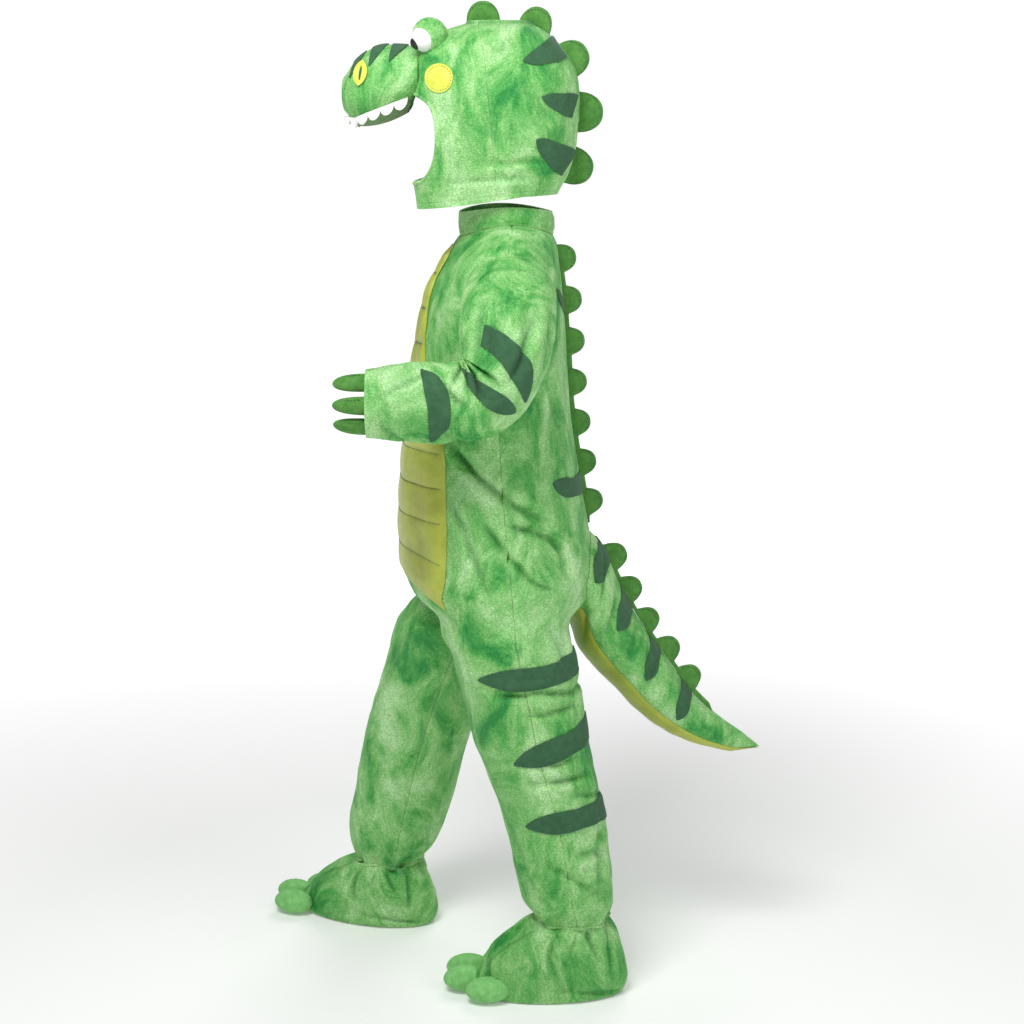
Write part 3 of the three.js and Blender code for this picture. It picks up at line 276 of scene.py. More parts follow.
TAIL = Table("topY topZ lowY lowZ half", [
    [84, 582, 50, 480, 70], [117, 550, 79, 450, 72], [136, 510, 90, 419, 66],
    [159, 464, 109, 394, 58], [183, 426, 137, 364, 50], [207, 394, 172, 328, 42],
    [232, 360, 208, 302, 34], [264, 327, 244, 287, 25], [300, 300, 284, 276, 15],
], numbered=True)
TAIL_TIP = (323.0, 280.0)
TAIL_UNDERSIDE_ANGLE = 118.0

SPINE_BACK = [(60, 915), (66, 885), (71, 850), (74, 811), (77, 775), (79, 735), (84, 690),
              (91, 645), (99, 600), (105, 574)]
SPINE_STRIP = 5.0

FOOT = Table("z back front half", [
    [97, -40, 40, 40], [91, -46, 54, 45], [81, -53, 73, 49], [66, -61, 96, 50],
    [49, -67, 111, 50], [33, -69, 122, 49], [20, -66, 125, 47], [13, -62, 121, 44],
])
FOOT_TOP = 97.0
FOOT_BOTTOM = 13.0
TOE = (17.0, 27.0, 15.5)
TOE_CLEAR = 0.6
STRAP = SimpleNamespace(reach=42.0, forward=22.0, half=11.0, flat=0.86, full=0.9, high=1.8, rise=13,
                        thick=1.2)
CLAW = SimpleNamespace(half=10.5, thick=6.0, sunk=9.0, outer_sunk=3, long=36.5, droop=4.0, spread=58,
                       band=66)
EYE = SimpleNamespace(x=50, y=-84, z=1150, lid=(17, 20, 20), white=16, white_ahead=6, pupil=8,
                      pupil_ahead=11)
EYE_LOOK = (0.3, -0.82, -0.48)


@dataclass(frozen=True)
class Standing:
    """Where a foot stands: its ankle, its turn in degrees, and its toes (across, forward)."""

    x: float
    y: float
    turn: float
    toes: tuple[tuple[float, float], ...]

    @property
    def matrix(self) -> Matrix:
        """The foot's own frame, with forward along -Y, in the costume's."""
        return Matrix.Translation((self.x, self.y, 0)) @ Matrix.Rotation(math.radians(self.turn), 4, "Z")


FEET = {
    Side.LEFT: Standing(103, 72, -4, ((34, 104), (-1, 130), (-36, 126))),
    Side.RIGHT: Standing(-149, -139, -27, ((-34, 110), (0, 137), (35, 124))),
}


@dataclass(frozen=True)
class Fold:
    """A crease from (a1, b1) to (a2, b2) on a surface, its half width and its depth in mm."""

    a1: float
    b1: float
    a2: float
    b2: float
    wide: float
    deep: float


class Relief:
    """Creases pressed into a surface, each a valley with a low ridge along either side."""

    DEEPER = 1.5
    REACH = 3
    STEEP = 0.6
    ENDS = (0.12, 0.88)

    def __init__(self, folds: Iterable[Fold], scale: tuple[float, float]) -> None:
        """Args:
            folds: the creases.
            scale: millimetres for one step of a and of b.
        """
        self.scale = scale
        self.lines = []
        for fold in folds:
            line = ((fold.a2 - fold.a1) * scale[0], (fold.b2 - fold.b1) * scale[1])
            reach = self.REACH * fold.wide / scale[1]
            band = (min(fold.b1, fold.b2) - reach, max(fold.b1, fold.b2) + reach)
            self.lines.append((fold, line, max(line[0] ** 2 + line[1] ** 2, 1e-6), band))

    def depth(self, a: float, b: float) -> float:
        """How far the creases press the surface in at a place, in mm."""
        total = 0.0
        for fold, line, length, band in self.lines:
            if not band[0] < b < band[1]:
                continue
            x, y = (a - fold.a1) * self.scale[0], (b - fold.b1) * self.scale[1]
            t = clamp((x * line[0] + y * line[1]) / length)
            away = math.hypot(x - line[0] * t, y - line[1] * t)
            if away > self.REACH * fold.wide:
                continue
            steep = self.STEEP if x * line[1] > y * line[0] else 1.0
            share = (away / (fold.wide * steep)) ** 2
            along = math.sin(math.pi * mix(*self.ENDS, t))
            total += self.DEEPER * fold.deep * along * (1 - share) * math.exp(-share)
        return total


def soft_bump(place: Vector) -> float:
    """The slow, uneven rise and fall of loose cloth at a place, in mm."""
    slow = noise.noise(place / SOFT_BUMP_SIZE)
    quick = noise.noise(place / (SOFT_BUMP_FINER * SOFT_BUMP_SIZE) + SOFT_BUMP_SHIFT)
    return SOFT_BUMP_HEIGHT * (slow + 0.5 * quick)


def gathers(full: float) -> float:
    """How far the uneven pleats at an ankle stand out, round its full turn, in mm."""
    return PLEAT_DEPTH * sum(high * math.cos(count * full + start) for count, high, start in PLEAT_WAVES)


def chain(wide: float, deep: float, *points: tuple[float, float]) -> list[Fold]:
    """One bent crease as folds that run end to end."""
    return [Fold(a1, b1, a2, b2, wide, deep) for (a1, b1), (a2, b2) in zip(points, points[1:])]


BODY_FOLDS = {
    Side.LEFT: [
        *chain(11, 6.5, (0.293, 693), (0.425, 651), (0.538, 619), (0.643, 599)),
        *chain(9, 6, (0.509, 596), (0.592, 590), (0.657, 578), (0.693, 561), (0.70, 539)),
        *chain(8, 5, (0.434, 596), (0.497, 562), (0.575, 530), (0.644, 519)),
        *chain(11, 4, (0.313, 618), (0.35, 597), (0.417, 523)),
        *chain(9, 6, (0.42, 398), (0.535, 404), (0.669, 394), (0.80, 402)),
        Fold(0.473, 375, 0.656, 382, 7, 4.2), Fold(0.345, 676, 0.425, 647, 7, 3.6),
        Fold(0.453, 293, 0.67, 296, 9, 5), Fold(0.50, 312, 0.62, 322, 7, 3),
        Fold(0.16, 440, 0.24, 300, 12, 4), Fold(0.44, 190, 0.60, 150, 8, 3.2),
        Fold(0.56, 800, 0.60, 720, 14, 3.0), Fold(0.72, 760, 0.80, 660, 15, 3.2),
        Fold(0.56, 276, 0.74, 264, 8, 3.4), Fold(0.62, 470, 0.65, 420, 14, 2.6),
        Fold(0.30, 250, 0.36, 150, 12, 2.6), Fold(0.66, 240, 0.60, 140, 13, 3.0),
        Fold(0.20, 780, 0.28, 690, 12, 2.8), Fold(0.84, 520, 0.74, 486, 12, 3.4),
        Fold(0.08, 250, 0.14, 140, 12, 2.6), Fold(0.90, 380, 0.94, 240, 14, 3.0),
        Fold(0.52, 205, 0.68, 196, 9, 2.6),
    ],
    Side.RIGHT: [
        *chain(11, 6.5, (0.28, 684), (0.41, 646), (0.53, 610), (0.63, 586)),
        *chain(9, 6, (0.50, 588), (0.59, 584), (0.66, 570), (0.70, 548)),
        *chain(8, 5, (0.44, 586), (0.50, 554), (0.58, 526), (0.66, 516)),
        *chain(11, 4, (0.30, 612), (0.34, 588), (0.39, 520)),
        *chain(9, 6, (0.44, 408), (0.55, 398), (0.66, 402), (0.78, 390)),
        Fold(0.49, 382, 0.64, 374, 7, 4.2), Fold(0.35, 668, 0.44, 634, 7, 3.6),
        Fold(0.44, 304, 0.68, 290, 9, 5), Fold(0.52, 318, 0.64, 310, 7, 3),
        Fold(0.16, 440, 0.24, 310, 12, 4), Fold(0.42, 186, 0.58, 146, 8, 3.2),
        Fold(0.58, 790, 0.61, 716, 14, 3.0), Fold(0.74, 750, 0.82, 656, 15, 3.2),
        Fold(0.54, 270, 0.70, 258, 8, 3.4), Fold(0.60, 464, 0.66, 424, 14, 2.6),
        Fold(0.28, 240, 0.38, 150, 12, 2.6), Fold(0.68, 250, 0.58, 150, 13, 3.0),
        Fold(0.18, 770, 0.28, 690, 12, 2.8), Fold(0.82, 524, 0.72, 488, 12, 3.4),
        Fold(0.06, 380, 0.12, 180, 13, 3.2), Fold(0.92, 400, 0.90, 220, 14, 3.0),
        Fold(0.50, 210, 0.66, 200, 9, 2.6),
    ],
}
SLEEVE_FOLDS = {
    Side.LEFT: [
        Fold(-0.5, 1.2, 0.5, 1.2, 3.5, 2.6), Fold(-0.10, 2.3, -0.02, 4.9, 7, 3.2),
        Fold(0.05, 2.4, 0.08, 5.0, 7, 3), Fold(-0.02, 6.6, 0.10, 7.6, 7, 3),
        Fold(0.26, 5.3, 0.02, 6.1, 8, 6.5), Fold(0.30, 5.9, 0.10, 7.1, 7, 5),
        Fold(0.22, 4.8, 0.00, 5.2, 7, 5), Fold(0.28, 5.6, 0.06, 6.6, 5, 3.5),
        Fold(0.34, 5.1, 0.44, 6.6, 8, 4.5), Fold(0.40, 6.2, 0.36, 8.2, 9, 3.2),
        Fold(0.10, 1.9, 0.14, 4.6, 10, 3), Fold(-0.06, 2.2, -0.04, 4.4, 10, 3.2),
        Fold(-0.16, 2.0, -0.18, 5.0, 11, 3), Fold(-0.30, 6.6, -0.10, 7.6, 10, 3),
        Fold(0.16, 8.2, 0.04, 9.6, 8, 2.8), Fold(-0.24, 8.6, -0.08, 9.5, 8, 2.4),
        Fold(0.44, 2.6, 0.46, 4.6, 10, 3),
    ],
    Side.RIGHT: [
        Fold(-0.5, 1.2, 0.5, 1.2, 3.5, 2.6), Fold(-0.09, 2.3, -0.01, 4.6, 7, 3.2),
        Fold(0.24, 5.0, 0.02, 5.6, 9, 4.5), Fold(0.28, 5.6, 0.08, 6.5, 7, 3.5),
        Fold(0.20, 4.4, 0.00, 4.8, 8, 3.5), Fold(0.34, 4.8, 0.44, 6.0, 8, 4),
        Fold(0.12, 1.9, 0.16, 4.2, 10, 3), Fold(-0.06, 2.2, -0.03, 4.4, 10, 3),
        Fold(-0.18, 2.0, -0.16, 4.6, 11, 3), Fold(-0.30, 6.0, -0.10, 7.0, 10, 3),
        Fold(0.14, 7.2, 0.04, 8.6, 8, 2.6), Fold(-0.22, 7.6, -0.06, 8.5, 8, 2.4),
        Fold(0.44, 2.6, 0.46, 4.4, 10, 3),
    ],
}
HOOD_FOLDS = [
    Fold(8, 1150, -12, 1118, 9, 1.8), Fold(-60, 985, 30, 990, 7, 1.6),
    Fold(-30, 1004, 52, 1010, 8, 1.5), Fold(-52, 1060, -40, 1020, 9, 1.6),
    Fold(20, 1090, 50, 1060, 10, 1.6), Fold(-66, 1128, -40, 1112, 7, 1.4),
]
FOOT_FOLDS = [
    Fold(0.10, 92, 0.05, 56, 6, 2.6), Fold(0.19, 94, 0.24, 50, 6, 3), Fold(0.31, 94, 0.35, 62, 5, 2.6),
    Fold(0.40, 92, 0.38, 44, 6, 2.8), Fold(0.56, 94, 0.60, 58, 6, 2.6), Fold(0.65, 94, 0.62, 40, 6, 3),
    Fold(0.78, 92, 0.82, 54, 6, 2.8), Fold(0.89, 92, 0.95, 60, 6, 2.4), Fold(0.27, 94, 0.27, 70, 4, 2),
    Fold(0.26, 30, 0.44, 16, 7, 2.4), Fold(0.58, 16, 0.76, 30, 7, 2.4),
    Fold(0.02, 60, 0.13, 24, 7, 2.4), Fold(0.88, 26, 0.98, 58, 7, 2.4),
]
TAIL_FOLDS = [
    Fold(0.06, 1.0, 0.24, 1.5, 10, 3), Fold(0.08, 2.0, 0.26, 2.3, 10, 2.6),
    Fold(0.05, 3.1, 0.25, 3.4, 9, 2.4), Fold(0.08, 4.3, 0.26, 4.4, 8, 2.2),
    Fold(0.06, 5.4, 0.25, 5.7, 7, 1.8), Fold(0.08, 6.6, 0.26, 6.7, 6, 1.4),
    Fold(0.30, 0.7, 0.38, 1.7, 10, 2.4),
]


class Jumpsuit:
    """The outer face of half the jumpsuit: a is 0 at centre front and 1 at centre back, b the height."""

    def __init__(self, side: Side) -> None:
        self.side = side
        self.scale = (LEG_GIRTH, 1.0)
        self.relief = Relief(BODY_FOLDS[side], self.scale)

    def pleat(self, full: float, z: float) -> float:
        """How far the gathers at the ankle stand out."""
        return smooth((ANKLE[self.side] + GATHER_HEIGHT - z) / GATHER_HEIGHT) * gathers(full)

    def place(self, a: float, b: float) -> Vector:
        """The point at a share of the way round and a height."""
        torso, leg = TORSO.at(b), LEGS[self.side].at(b)
        share = smooth((HIP - b) / (HIP - CROTCH))
        half, full = math.pi * a, 2 * math.pi * a
        trunk, deep = span(torso.front, torso.back)
        on_torso = Vector((
            torso.half * math.sin(half),
            trunk - deep * math.cos(half),
            torso.z + (torso.side - torso.z) * math.sin(half) ** 2))
        middle, reach = span(leg.front, leg.back)
        pull = (INSEAM[self.side].at(b).inseam - middle) * ((1 + math.cos(full)) / 2) ** 2
        pleat = self.pleat(full, b)
        on_leg = Vector((
            leg.x - (leg.r + pleat) * math.cos(full),
            middle - (reach + pleat) * math.sin(full) + pull,
            min(b, HIP)))
        place = on_torso.lerp(on_leg, share)
        centre = Vector((share * leg.x, mix(trunk, middle, share), place.z))
        inward = (centre - place).normalized()
        depth = self.relief.depth(a, b) - soft_bump(Vector((place.x * self.side.value, place.y, place.z)))
        place += inward * depth * math.sin(half)
        place.x = self.side.value * (place.x + SEAM / 2)
        return place

    def core(self, place: Vector) -> Vector:
        """The middle of the trunk or leg at a place's height."""
        share = smooth((HIP - place.z) / (HIP - CROTCH))
        leg, torso = LEGS[self.side].at(place.z), TORSO.at(place.z)
        return Vector((self.side.value * mix(1, leg.x, share),
                       mix(span(torso.front, torso.back)[0], span(leg.front, leg.back)[0], share), place.z))


class Sleeve:
    """The outer face of a sleeve: a is the share of the way round it, b the section's number."""

    def __init__(self, side: Side) -> None:
        self.side = side
        self.table = SLEEVES[side]
        self.scale = (SLEEVE_GIRTH, SLEEVE_SECTION)
        self.relief = Relief(SLEEVE_FOLDS[side], self.scale)

    def frame(self, b: float) -> tuple[SimpleNamespace, Vector, Vector, Vector]:
        """The section, and the directions along it, outward and up, as on the left."""
        row = self.table.at(b)
        before, after = self.table.at(max(b - 0.05, 0)), self.table.at(min(b + 0.05, self.table.last))
        along = Vector((after.x - before.x, after.y - before.y, after.z - before.z)).normalized()
        out = Vector((row.outX, 0, row.outZ))
        out = (out - along * out.dot(along)).normalized()
        return row, along, out, along.cross(out)

    def place(self, a: float, b: float, grow: float = 0.0) -> Vector:
        """The point at a share of the way round and a section number."""
        row, _, out, up = self.frame(b)
        middle = Vector((row.x, row.y, row.z))
        angle, turn = 2 * math.pi * a, a - math.floor(a + 0.5)

        def at(reach: float) -> Vector:
            return middle + out * (row.a + reach) * math.cos(angle) + up * (row.b + reach) * math.sin(angle)
        depth = self.relief.depth(turn, b) + self.relief.depth(turn + 1, b) - soft_bump(at(0))
        place = at(grow - depth * smooth((b - 0.5) / 0.9))
        place.x *= self.side.value
        return place

    def centre(self, b: float) -> Vector:
        """The middle of a section."""
        row = self.table.at(b)
        return Vector((self.side.value * row.x, row.y, row.z))

    def core(self, place: Vector) -> Vector:
        """The nearest middle of a section."""
        middles = [self.centre(b) for b in np.linspace(0, self.table.last, 41)]
        return min(middles, key=lambda middle: (middle - place).length_squared)


class FootCover:
    """The outer face of a foot cover in its own frame: a is the share round from the toes, b the height."""

    def __init__(self, side: Side) -> None:
        self.side = side
        self.matrix = FEET[side].matrix
        self.drop = ANKLE[side] - FOOT_TOP - SEAM
        self.relief = Relief(FOOT_FOLDS, (FOOT_GIRTH, 1.0))

    def place(self, a: float, b: float, grow: float = 0.0) -> Vector:
        """The point at a share of the way round and a height."""
        row, angle = FOOT.at(b), 2 * math.pi * a
        pleat = smooth((b - (FOOT_TOP - GATHER_HEIGHT)) / GATHER_HEIGHT) * gathers(angle)
        middle, reach = span(row.back, row.front)
        bare = Vector((row.half * math.sin(angle) + self.drop * 90, -middle - reach * math.cos(angle), b))
        free = smooth((FOOT_TOP - b) / 12) * smooth((b - FOOT_BOTTOM) / 8)
        swell = grow + pleat - free * (self.relief.depth(a % 1, b) - soft_bump(bare))
        return Vector((
            (row.half + swell) * math.sin(angle),
            -(middle + (reach + swell) * math.cos(angle)),
            b + self.drop * smooth((b - 40) / 50)))

    def core(self, place: Vector) -> Vector:
        """The middle of the cover at a place's height."""
        return Vector((0, -20, place.z))


class Tail:
    """The tail's face: a is the share of the way round from its top, b the section's number."""

    scale = (TAIL_GIRTH, TAIL_SECTION)
    relief = Relief(TAIL_FOLDS, scale)

    def frame(self, b: float) -> tuple[Vector, Vector, float]:
        """The section's middle, the direction and half height to its top, and its half width."""
        row = TAIL.at(b)
        top, low = Vector((0, row.topY, row.topZ)), Vector((0, row.lowY, row.lowZ))
        return (top + low) / 2, (top - low) / 2, row.half

    def place(self, a: float, b: float, grow: float = 0.0) -> Vector:
        """The point at a share of the way round and a section number."""
        middle, up, half = self.frame(b)
        angle = 2 * math.pi * a
        from_top = abs(a - math.floor(a + 0.5))
        bare = middle + up * math.cos(angle) + Vector((half * math.sin(angle), 0, 0))
        free = smooth(b / 0.8) * smooth(from_top / 0.04)
        swell = grow - free * (self.relief.depth(from_top, b) - 0.7 * soft_bump(bare))
        place = middle + up.normalized() * (up.length + swell) * math.cos(angle)
        place.x = (half + swell) * math.sin(angle)
        return place

    def core(self, place: Vector) -> Vector:
        """The middle of the nearest section."""
        middles = [self.frame(b)[0] for b in np.linspace(0, TAIL.last, 33)]
        return min(middles, key=lambda middle: (middle - place).length_squared)


class Hood:
    """The hood's face in the head's own frame. Places on its side are given as seen from the side."""

    def __init__(self, side: Side = Side.LEFT) -> None:
        self.side = side
        self.scale = (1.0, 1.0)
        self.relief = Relief(HOOD_FOLDS, self.scale)

    def swell(self, place: Vector) -> float:
        """How far the cloth's relief stands out at a place."""
        calm = smooth((abs(place.x) - 4) / 20)
        return calm * (0.8 * soft_bump(place) - self.relief.depth(place.y, place.z))

    def ring(self, z: float, grow: float, around: int) -> list[Vector]:
        """One section, moved out by grow."""
        row = HOOD.at(z)
        middle, reach = span(row.front, row.back)
        lean = smooth((z - 1090) / 75)
        points = []
        for i in range(around):
            angle = 2 * math.pi * i / around
            across, ahead = rounded(math.sin(angle), HOOD_ROUND), rounded(math.cos(angle), HOOD_ROUND)
            bare = Vector((row.half * across, middle - reach * ahead, z))
            out = grow * mix(1, 0.75, lean) + self.swell(bare) * smooth((1164 - z) / 12)
            points.append(Vector(((row.half + out) * across, middle - (reach + out) * ahead,
                                  z + grow * lean)))
        return points

    def place(self, a: float, b: float) -> Vector:
        """The point of the side at y = a and z = b."""
        row = HOOD.at(b)
        middle, reach = span(row.front, row.back)
        share = clamp((a - middle) / reach, -0.9995, 0.9995)
        x = row.half * (1 - abs(share) ** HOOD_ROUND) ** (1 / HOOD_ROUND)
        out = self.swell(Vector((x, a, b)))
        return Vector((self.side.value * (x + out * x / row.half), a + out * share, b))

    def core(self, place: Vector) -> Vector:
        """The middle of the head at a place's height, or well inside it near the crown."""
        return Vector((0, -12, min(place.z, 1080)))


class Snout:
    """The snout's face in the head's own frame: a is the share of the way round from its top, b is y."""

    scale = (SNOUT_GIRTH, 1.0)

    def place(self, a: float, b: float, grow: float = 0.0) -> Vector:
        """The point at a share of the way round and a distance forward."""
        row, angle = SNOUT.at(b), 2 * math.pi * a
        middle, high = span(row.bottom, row.top)
        bare = Vector((row.half * math.sin(angle), b, middle + high * math.cos(angle)))
        out = grow + 0.5 * soft_bump(Vector((abs(bare.x), bare.y, bare.z)))
        return Vector(((row.half + out) * rounded(math.sin(angle), SNOUT_ROUND), b,
                       middle + (high + out) * rounded(math.cos(angle), SNOUT_ROUND)))

    def half_at(self, y: float, z: float) -> float:
        """The snout's half width at a place seen from the side."""
        row = SNOUT.at(y)
        middle, high = span(row.bottom, row.top)
        drop = min(abs(z - middle) / high, 1)
        return row.half * (1 - drop ** SNOUT_ROUND) ** (1 / SNOUT_ROUND)

    def core(self, place: Vector) -> Vector:
        """The snout's middle line beside a place."""
        return Vector((0, place.y, 1095))


def lip_height(y: float) -> float:
    """The height of the lip seam at a distance forward."""
    return mix(LIP_REAR[1], LIP_FRONT[1], (y - LIP_REAR[0]) / (LIP_FRONT[0] - LIP_REAR[0]))


SUITS = {side: Jumpsuit(side) for side in Side}
ARMS = {side: Sleeve(side) for side in Side}
COVERS = {side: FootCover(side) for side in Side}
TAIL_FACE = Tail()
SNOUT_FACE = Snout()
HOODS = {side: Hood(side) for side in Side}
TO_FRAME = Matrix.Scale(MM, 4) @ Matrix.Translation((0, 0, -NECK_HEIGHT))
TO_HEAD = TO_FRAME @ Matrix.Rotation(HEAD_TURN, 4, "Z")


def smooth_curve(points: Sequence[Vector], count: int) -> list[Vector]:
    """Points at even distances on a smooth curve through some others (Catmull-Rom).

    Args:
        points: what the curve passes through.
        count: how many points to return.

    Returns:
        The evenly spaced points.
    """
    padded = [points[0] * 2 - points[1], *points, points[-1] * 2 - points[-2]]
    fine = []
    for i in range(len(points) - 1):
        p0, p1, p2, p3 = padded[i:i + 4]
        for step in range(12):
            t = step / 12
            fine.append(0.5 * (2 * p1 + (p2 - p0) * t + (2 * p0 - 5 * p1 + 4 * p2 - p3) * t ** 2
                               + (3 * p1 - p0 - 3 * p2 + p3) * t ** 3))
    fine.append(points[-1].copy())
    data = np.array([tuple(p) for p in fine])
    gone = np.concatenate([[0], np.cumsum(np.linalg.norm(np.diff(data, axis=0), axis=1))])
    wanted = np.linspace(0, gone[-1], count)
    return [Vector(p) for p in np.column_stack([np.interp(wanted, gone, column) for column in data.T])]


def curve_length(points: Sequence[Vector]) -> float:
    """The length of a line through points."""
    return sum((b - a).length for a, b in zip(points, points[1:]))


def link_object(name: str, data: bpy.types.ID) -> bpy.types.Object:
    """A new object of a mesh, light or camera, in the scene."""
    obj = bpy.data.objects.new(name, data)
    bpy.context.scene.collection.objects.link(obj)
    return obj


@dataclass
class Flat:
    """What a sheet is cut from: a rectangle's width and length, and the cut's area, in metres."""

    width: float
    length: float
    area: float


def mark_creases(mesh: bpy.types.Mesh) -> None:
    """Gives each vertex how hollow the surface is there: 0.5 where flat, 1 in a crease, 0 on a ridge."""
    count = len(mesh.vertices)
    places, normals = np.zeros(3 * count), np.zeros(3 * count)
    ends = np.zeros(2 * len(mesh.edges), int)
    mesh.vertices.foreach_get("co", places)
    mesh.vertices.foreach_get("normal", normals)
    mesh.edges.foreach_get("vertices", ends)
    places, normals, ends = places.reshape(-1, 3) / MM, normals.reshape(-1, 3), ends.reshape(-1, 2)
    first, second = np.concatenate([ends[:, 0], ends[:, 1]]), np.concatenate([ends[:, 1], ends[:, 0]])
    met = np.maximum(np.bincount(first, minlength=count), 1)
    steps = places[second] - places[first]
    rise = np.bincount(first, (steps * normals[first]).sum(axis=1), count) / met
    square = np.bincount(first, (steps ** 2).sum(axis=1), count) / met
    curved = 2 * rise / np.maximum(square, CREASE_LEAST_SQUARE)
    hollow = np.where(square < CREASE_LONGEST ** 2, curved, -ROUNDNESS)
    for _ in range(CREASE_BLUR):
        hollow = (hollow + np.bincount(first, hollow[second], count) / met) / 2
    values = np.clip(0.5 + CREASE_GAIN * (hollow + ROUNDNESS), 0, 1)
    # From this value the plush and satin shaders paint shade into creases, and the plush a highlight onto
    # ridges.
    mesh.attributes.new("crease", "FLOAT", "POINT").data.foreach_set("value", values.astype(np.float32))


class Workshop:
    """Makes meshes, cuts them, gives them a material and hands them to the frame."""

    def __init__(self) -> None:
        self.materials: dict[Finish, bpy.types.Material] = {}

    def new_object(self, name: str, bm: bmesh.types.BMesh) -> bpy.types.Object:
        """An object of a finished bmesh, still in millimetres."""
        mesh = bpy.data.meshes.new(name)
        bm.to_mesh(mesh)
        bm.free()
        return link_object(name, mesh)

    def bake(self, obj: bpy.types.Object) -> None:
        """Replaces a mesh by what its modifiers make of it."""
        bpy.context.view_layer.update()
        made = bpy.data.meshes.new_from_object(obj.evaluated_get(bpy.context.evaluated_depsgraph_get()))
        obj.modifiers.clear()
        old, obj.data = obj.data, made
        name = old.name
        bpy.data.meshes.remove(old)
        made.name = name

    def wall(self, name: str, place: Place, core: Core, cells: tuple[int, int], *, thick: float = PLUSH,
             lift: float = -PLUSH, closed: bool = False, tuck: float = 0.0) -> tuple[bpy.types.Object, Flat]:
        """A wall of cloth on a surface.

        Args:
            name: the object's name.
            place: the surface's point at shares u and v.
            core: a point inside the form, for a point on it.
            cells: how many faces across and along.
            thick: the wall's thickness.
            lift: how far its inner face lies above the surface.
            closed: True for a tube in u.
            tuck: how far a seam pulls the first and last columns in.

        Returns:
            The object, and the flat size of the sheet.
        """
        across, along = cells
        bm = bmesh.new()
        bmesh.ops.create_grid(bm, x_segments=across, y_segments=along, size=0.5, calc_uvs=True)
        points = np.zeros((along + 1, across + 1, 3))
        rims = []
        for vertex in bm.verts:
            i, j = round((vertex.co.x + 0.5) * across), round((vertex.co.y + 0.5) * along)
            vertex.co = place(i / across, j / along)
            points[j, i] = vertex.co
            if i in (0, across):
                rims.append(vertex)
        bm.normal_update()
        vote = sum((face.calc_center_median() - core(face.calc_center_median())).dot(face.normal)
                   for face in list(bm.faces)[::7])
        if vote < 0:
            bmesh.ops.reverse_faces(bm, faces=bm.faces[:])
            bm.normal_update()
        area = sum(face.calc_area() for face in bm.faces)
        if closed:
            bmesh.ops.remove_doubles(bm, verts=bm.verts[:], dist=0.02)
            bm.normal_update()
        elif tuck:
            for vertex in rims:
                vertex.co -= vertex.normal * tuck
        shifts = [(vertex, vertex.normal * (lift + thick)) for vertex in bm.verts]
        for vertex, shift in shifts:
            vertex.co += shift
        obj = self.new_object(name, bm)
        solidify = obj.modifiers.new("Thickness", "SOLIDIFY")
        solidify.thickness = thick
        solidify.offset = -1
        self.bake(obj)
        width = np.linalg.norm(np.diff(points, axis=1), axis=2).sum(axis=1).max()
        length = np.linalg.norm(np.diff(points, axis=0), axis=2).sum(axis=0).max()
        cut = clamp(area, LEAST_CUT * width * length, width * length)
        return obj, Flat(width * MM, length * MM, cut * MM * MM)

    def loft(self, name: str, rings: Sequence[Sequence[Vector]]) -> bpy.types.Object:
        """A closed solid through rings of points. A ring of one point is a pole."""
        bm = bmesh.new()
        made = [[bm.verts.new(point) for point in ring] for ring in rings]
        for ring, following in zip(made, made[1:]):
            count = max(len(ring), len(following))
            for i in range(count):
                corners = [ring[i % len(ring)], ring[(i + 1) % len(ring)],
                           following[(i + 1) % len(following)], following[i % len(following)]]
                bm.faces.new(list(dict.fromkeys(corners)))
        for ring in (made[0], made[-1]):
            if len(ring) > 1:
                bm.faces.new(ring)
        bmesh.ops.triangulate(bm, faces=[face for face in bm.faces if len(face.verts) > 4])
        bmesh.ops.recalc_face_normals(bm, faces=bm.faces[:])
        return self.new_object(name, bm)

    def prism(self, name: str, outline: Sequence[tuple[float, float]], x1: float,
              x2: float) -> bpy.types.Object:
        """A solid with an outline as seen from the side (y, z), from x1 to x2."""
        return self.loft(name, [[Vector((x, y, z)) for y, z in outline] for x in (x1, x2)])

    def combine(self, obj: bpy.types.Object, operation: str, *tools: bpy.types.Object) -> bpy.types.Object:
        """Cuts obj by tools, keeps what they share, or joins them, as operation says."""
        for tool in tools:
            modifier = obj.modifiers.new("Shape", "BOOLEAN")
            modifier.operation = operation
            modifier.solver = "MANIFOLD"
            modifier.object = tool
            self.bake(obj)
        return obj

    def discard(self, *tools: bpy.types.Object) -> None:
        """Takes away solids that only served to cut others."""
        for tool in tools:
            bpy.data.objects.remove(tool)

    def finish(self, obj: bpy.types.Object, look: Finish, nodes: Iterable[str] = (),
               matrix: Matrix = TO_FRAME, sharp: float = 42.0) -> bpy.types.Object:
        """Moves a piece into the row frame, gives it its material and its body, and hides the CAD nodes that
        it stands for.

        Args:
            obj: the piece, in millimetres.
            look: its material.
            nodes: the CAD nodes that it stands for.
            matrix: from the piece's own frame to the row frame.
            sharp: the angle in degrees above which an edge stays sharp.

        Returns:
            The piece.
        """
        obj.data.transform(matrix)
        mark_creases(obj.data)
        obj.data.shade_smooth()
        obj.data.set_sharp_from_angle(angle=math.radians(sharp))
        obj.data.materials.clear()
        obj.data.materials.append(self.materials[look])
        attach(obj, "root")
        if nodes:
            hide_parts(*nodes)
        return obj

    def sheet(self, obj: bpy.types.Object, flat: Flat, held: str, rests_on: Iterable[str]) -> None:
        """Logs a piece's flat size as a sheet of cloth."""
        LOG.info("sheet %s %.3f x %.3f m, %.4f m2", obj.name, flat.width, flat.length, flat.area)


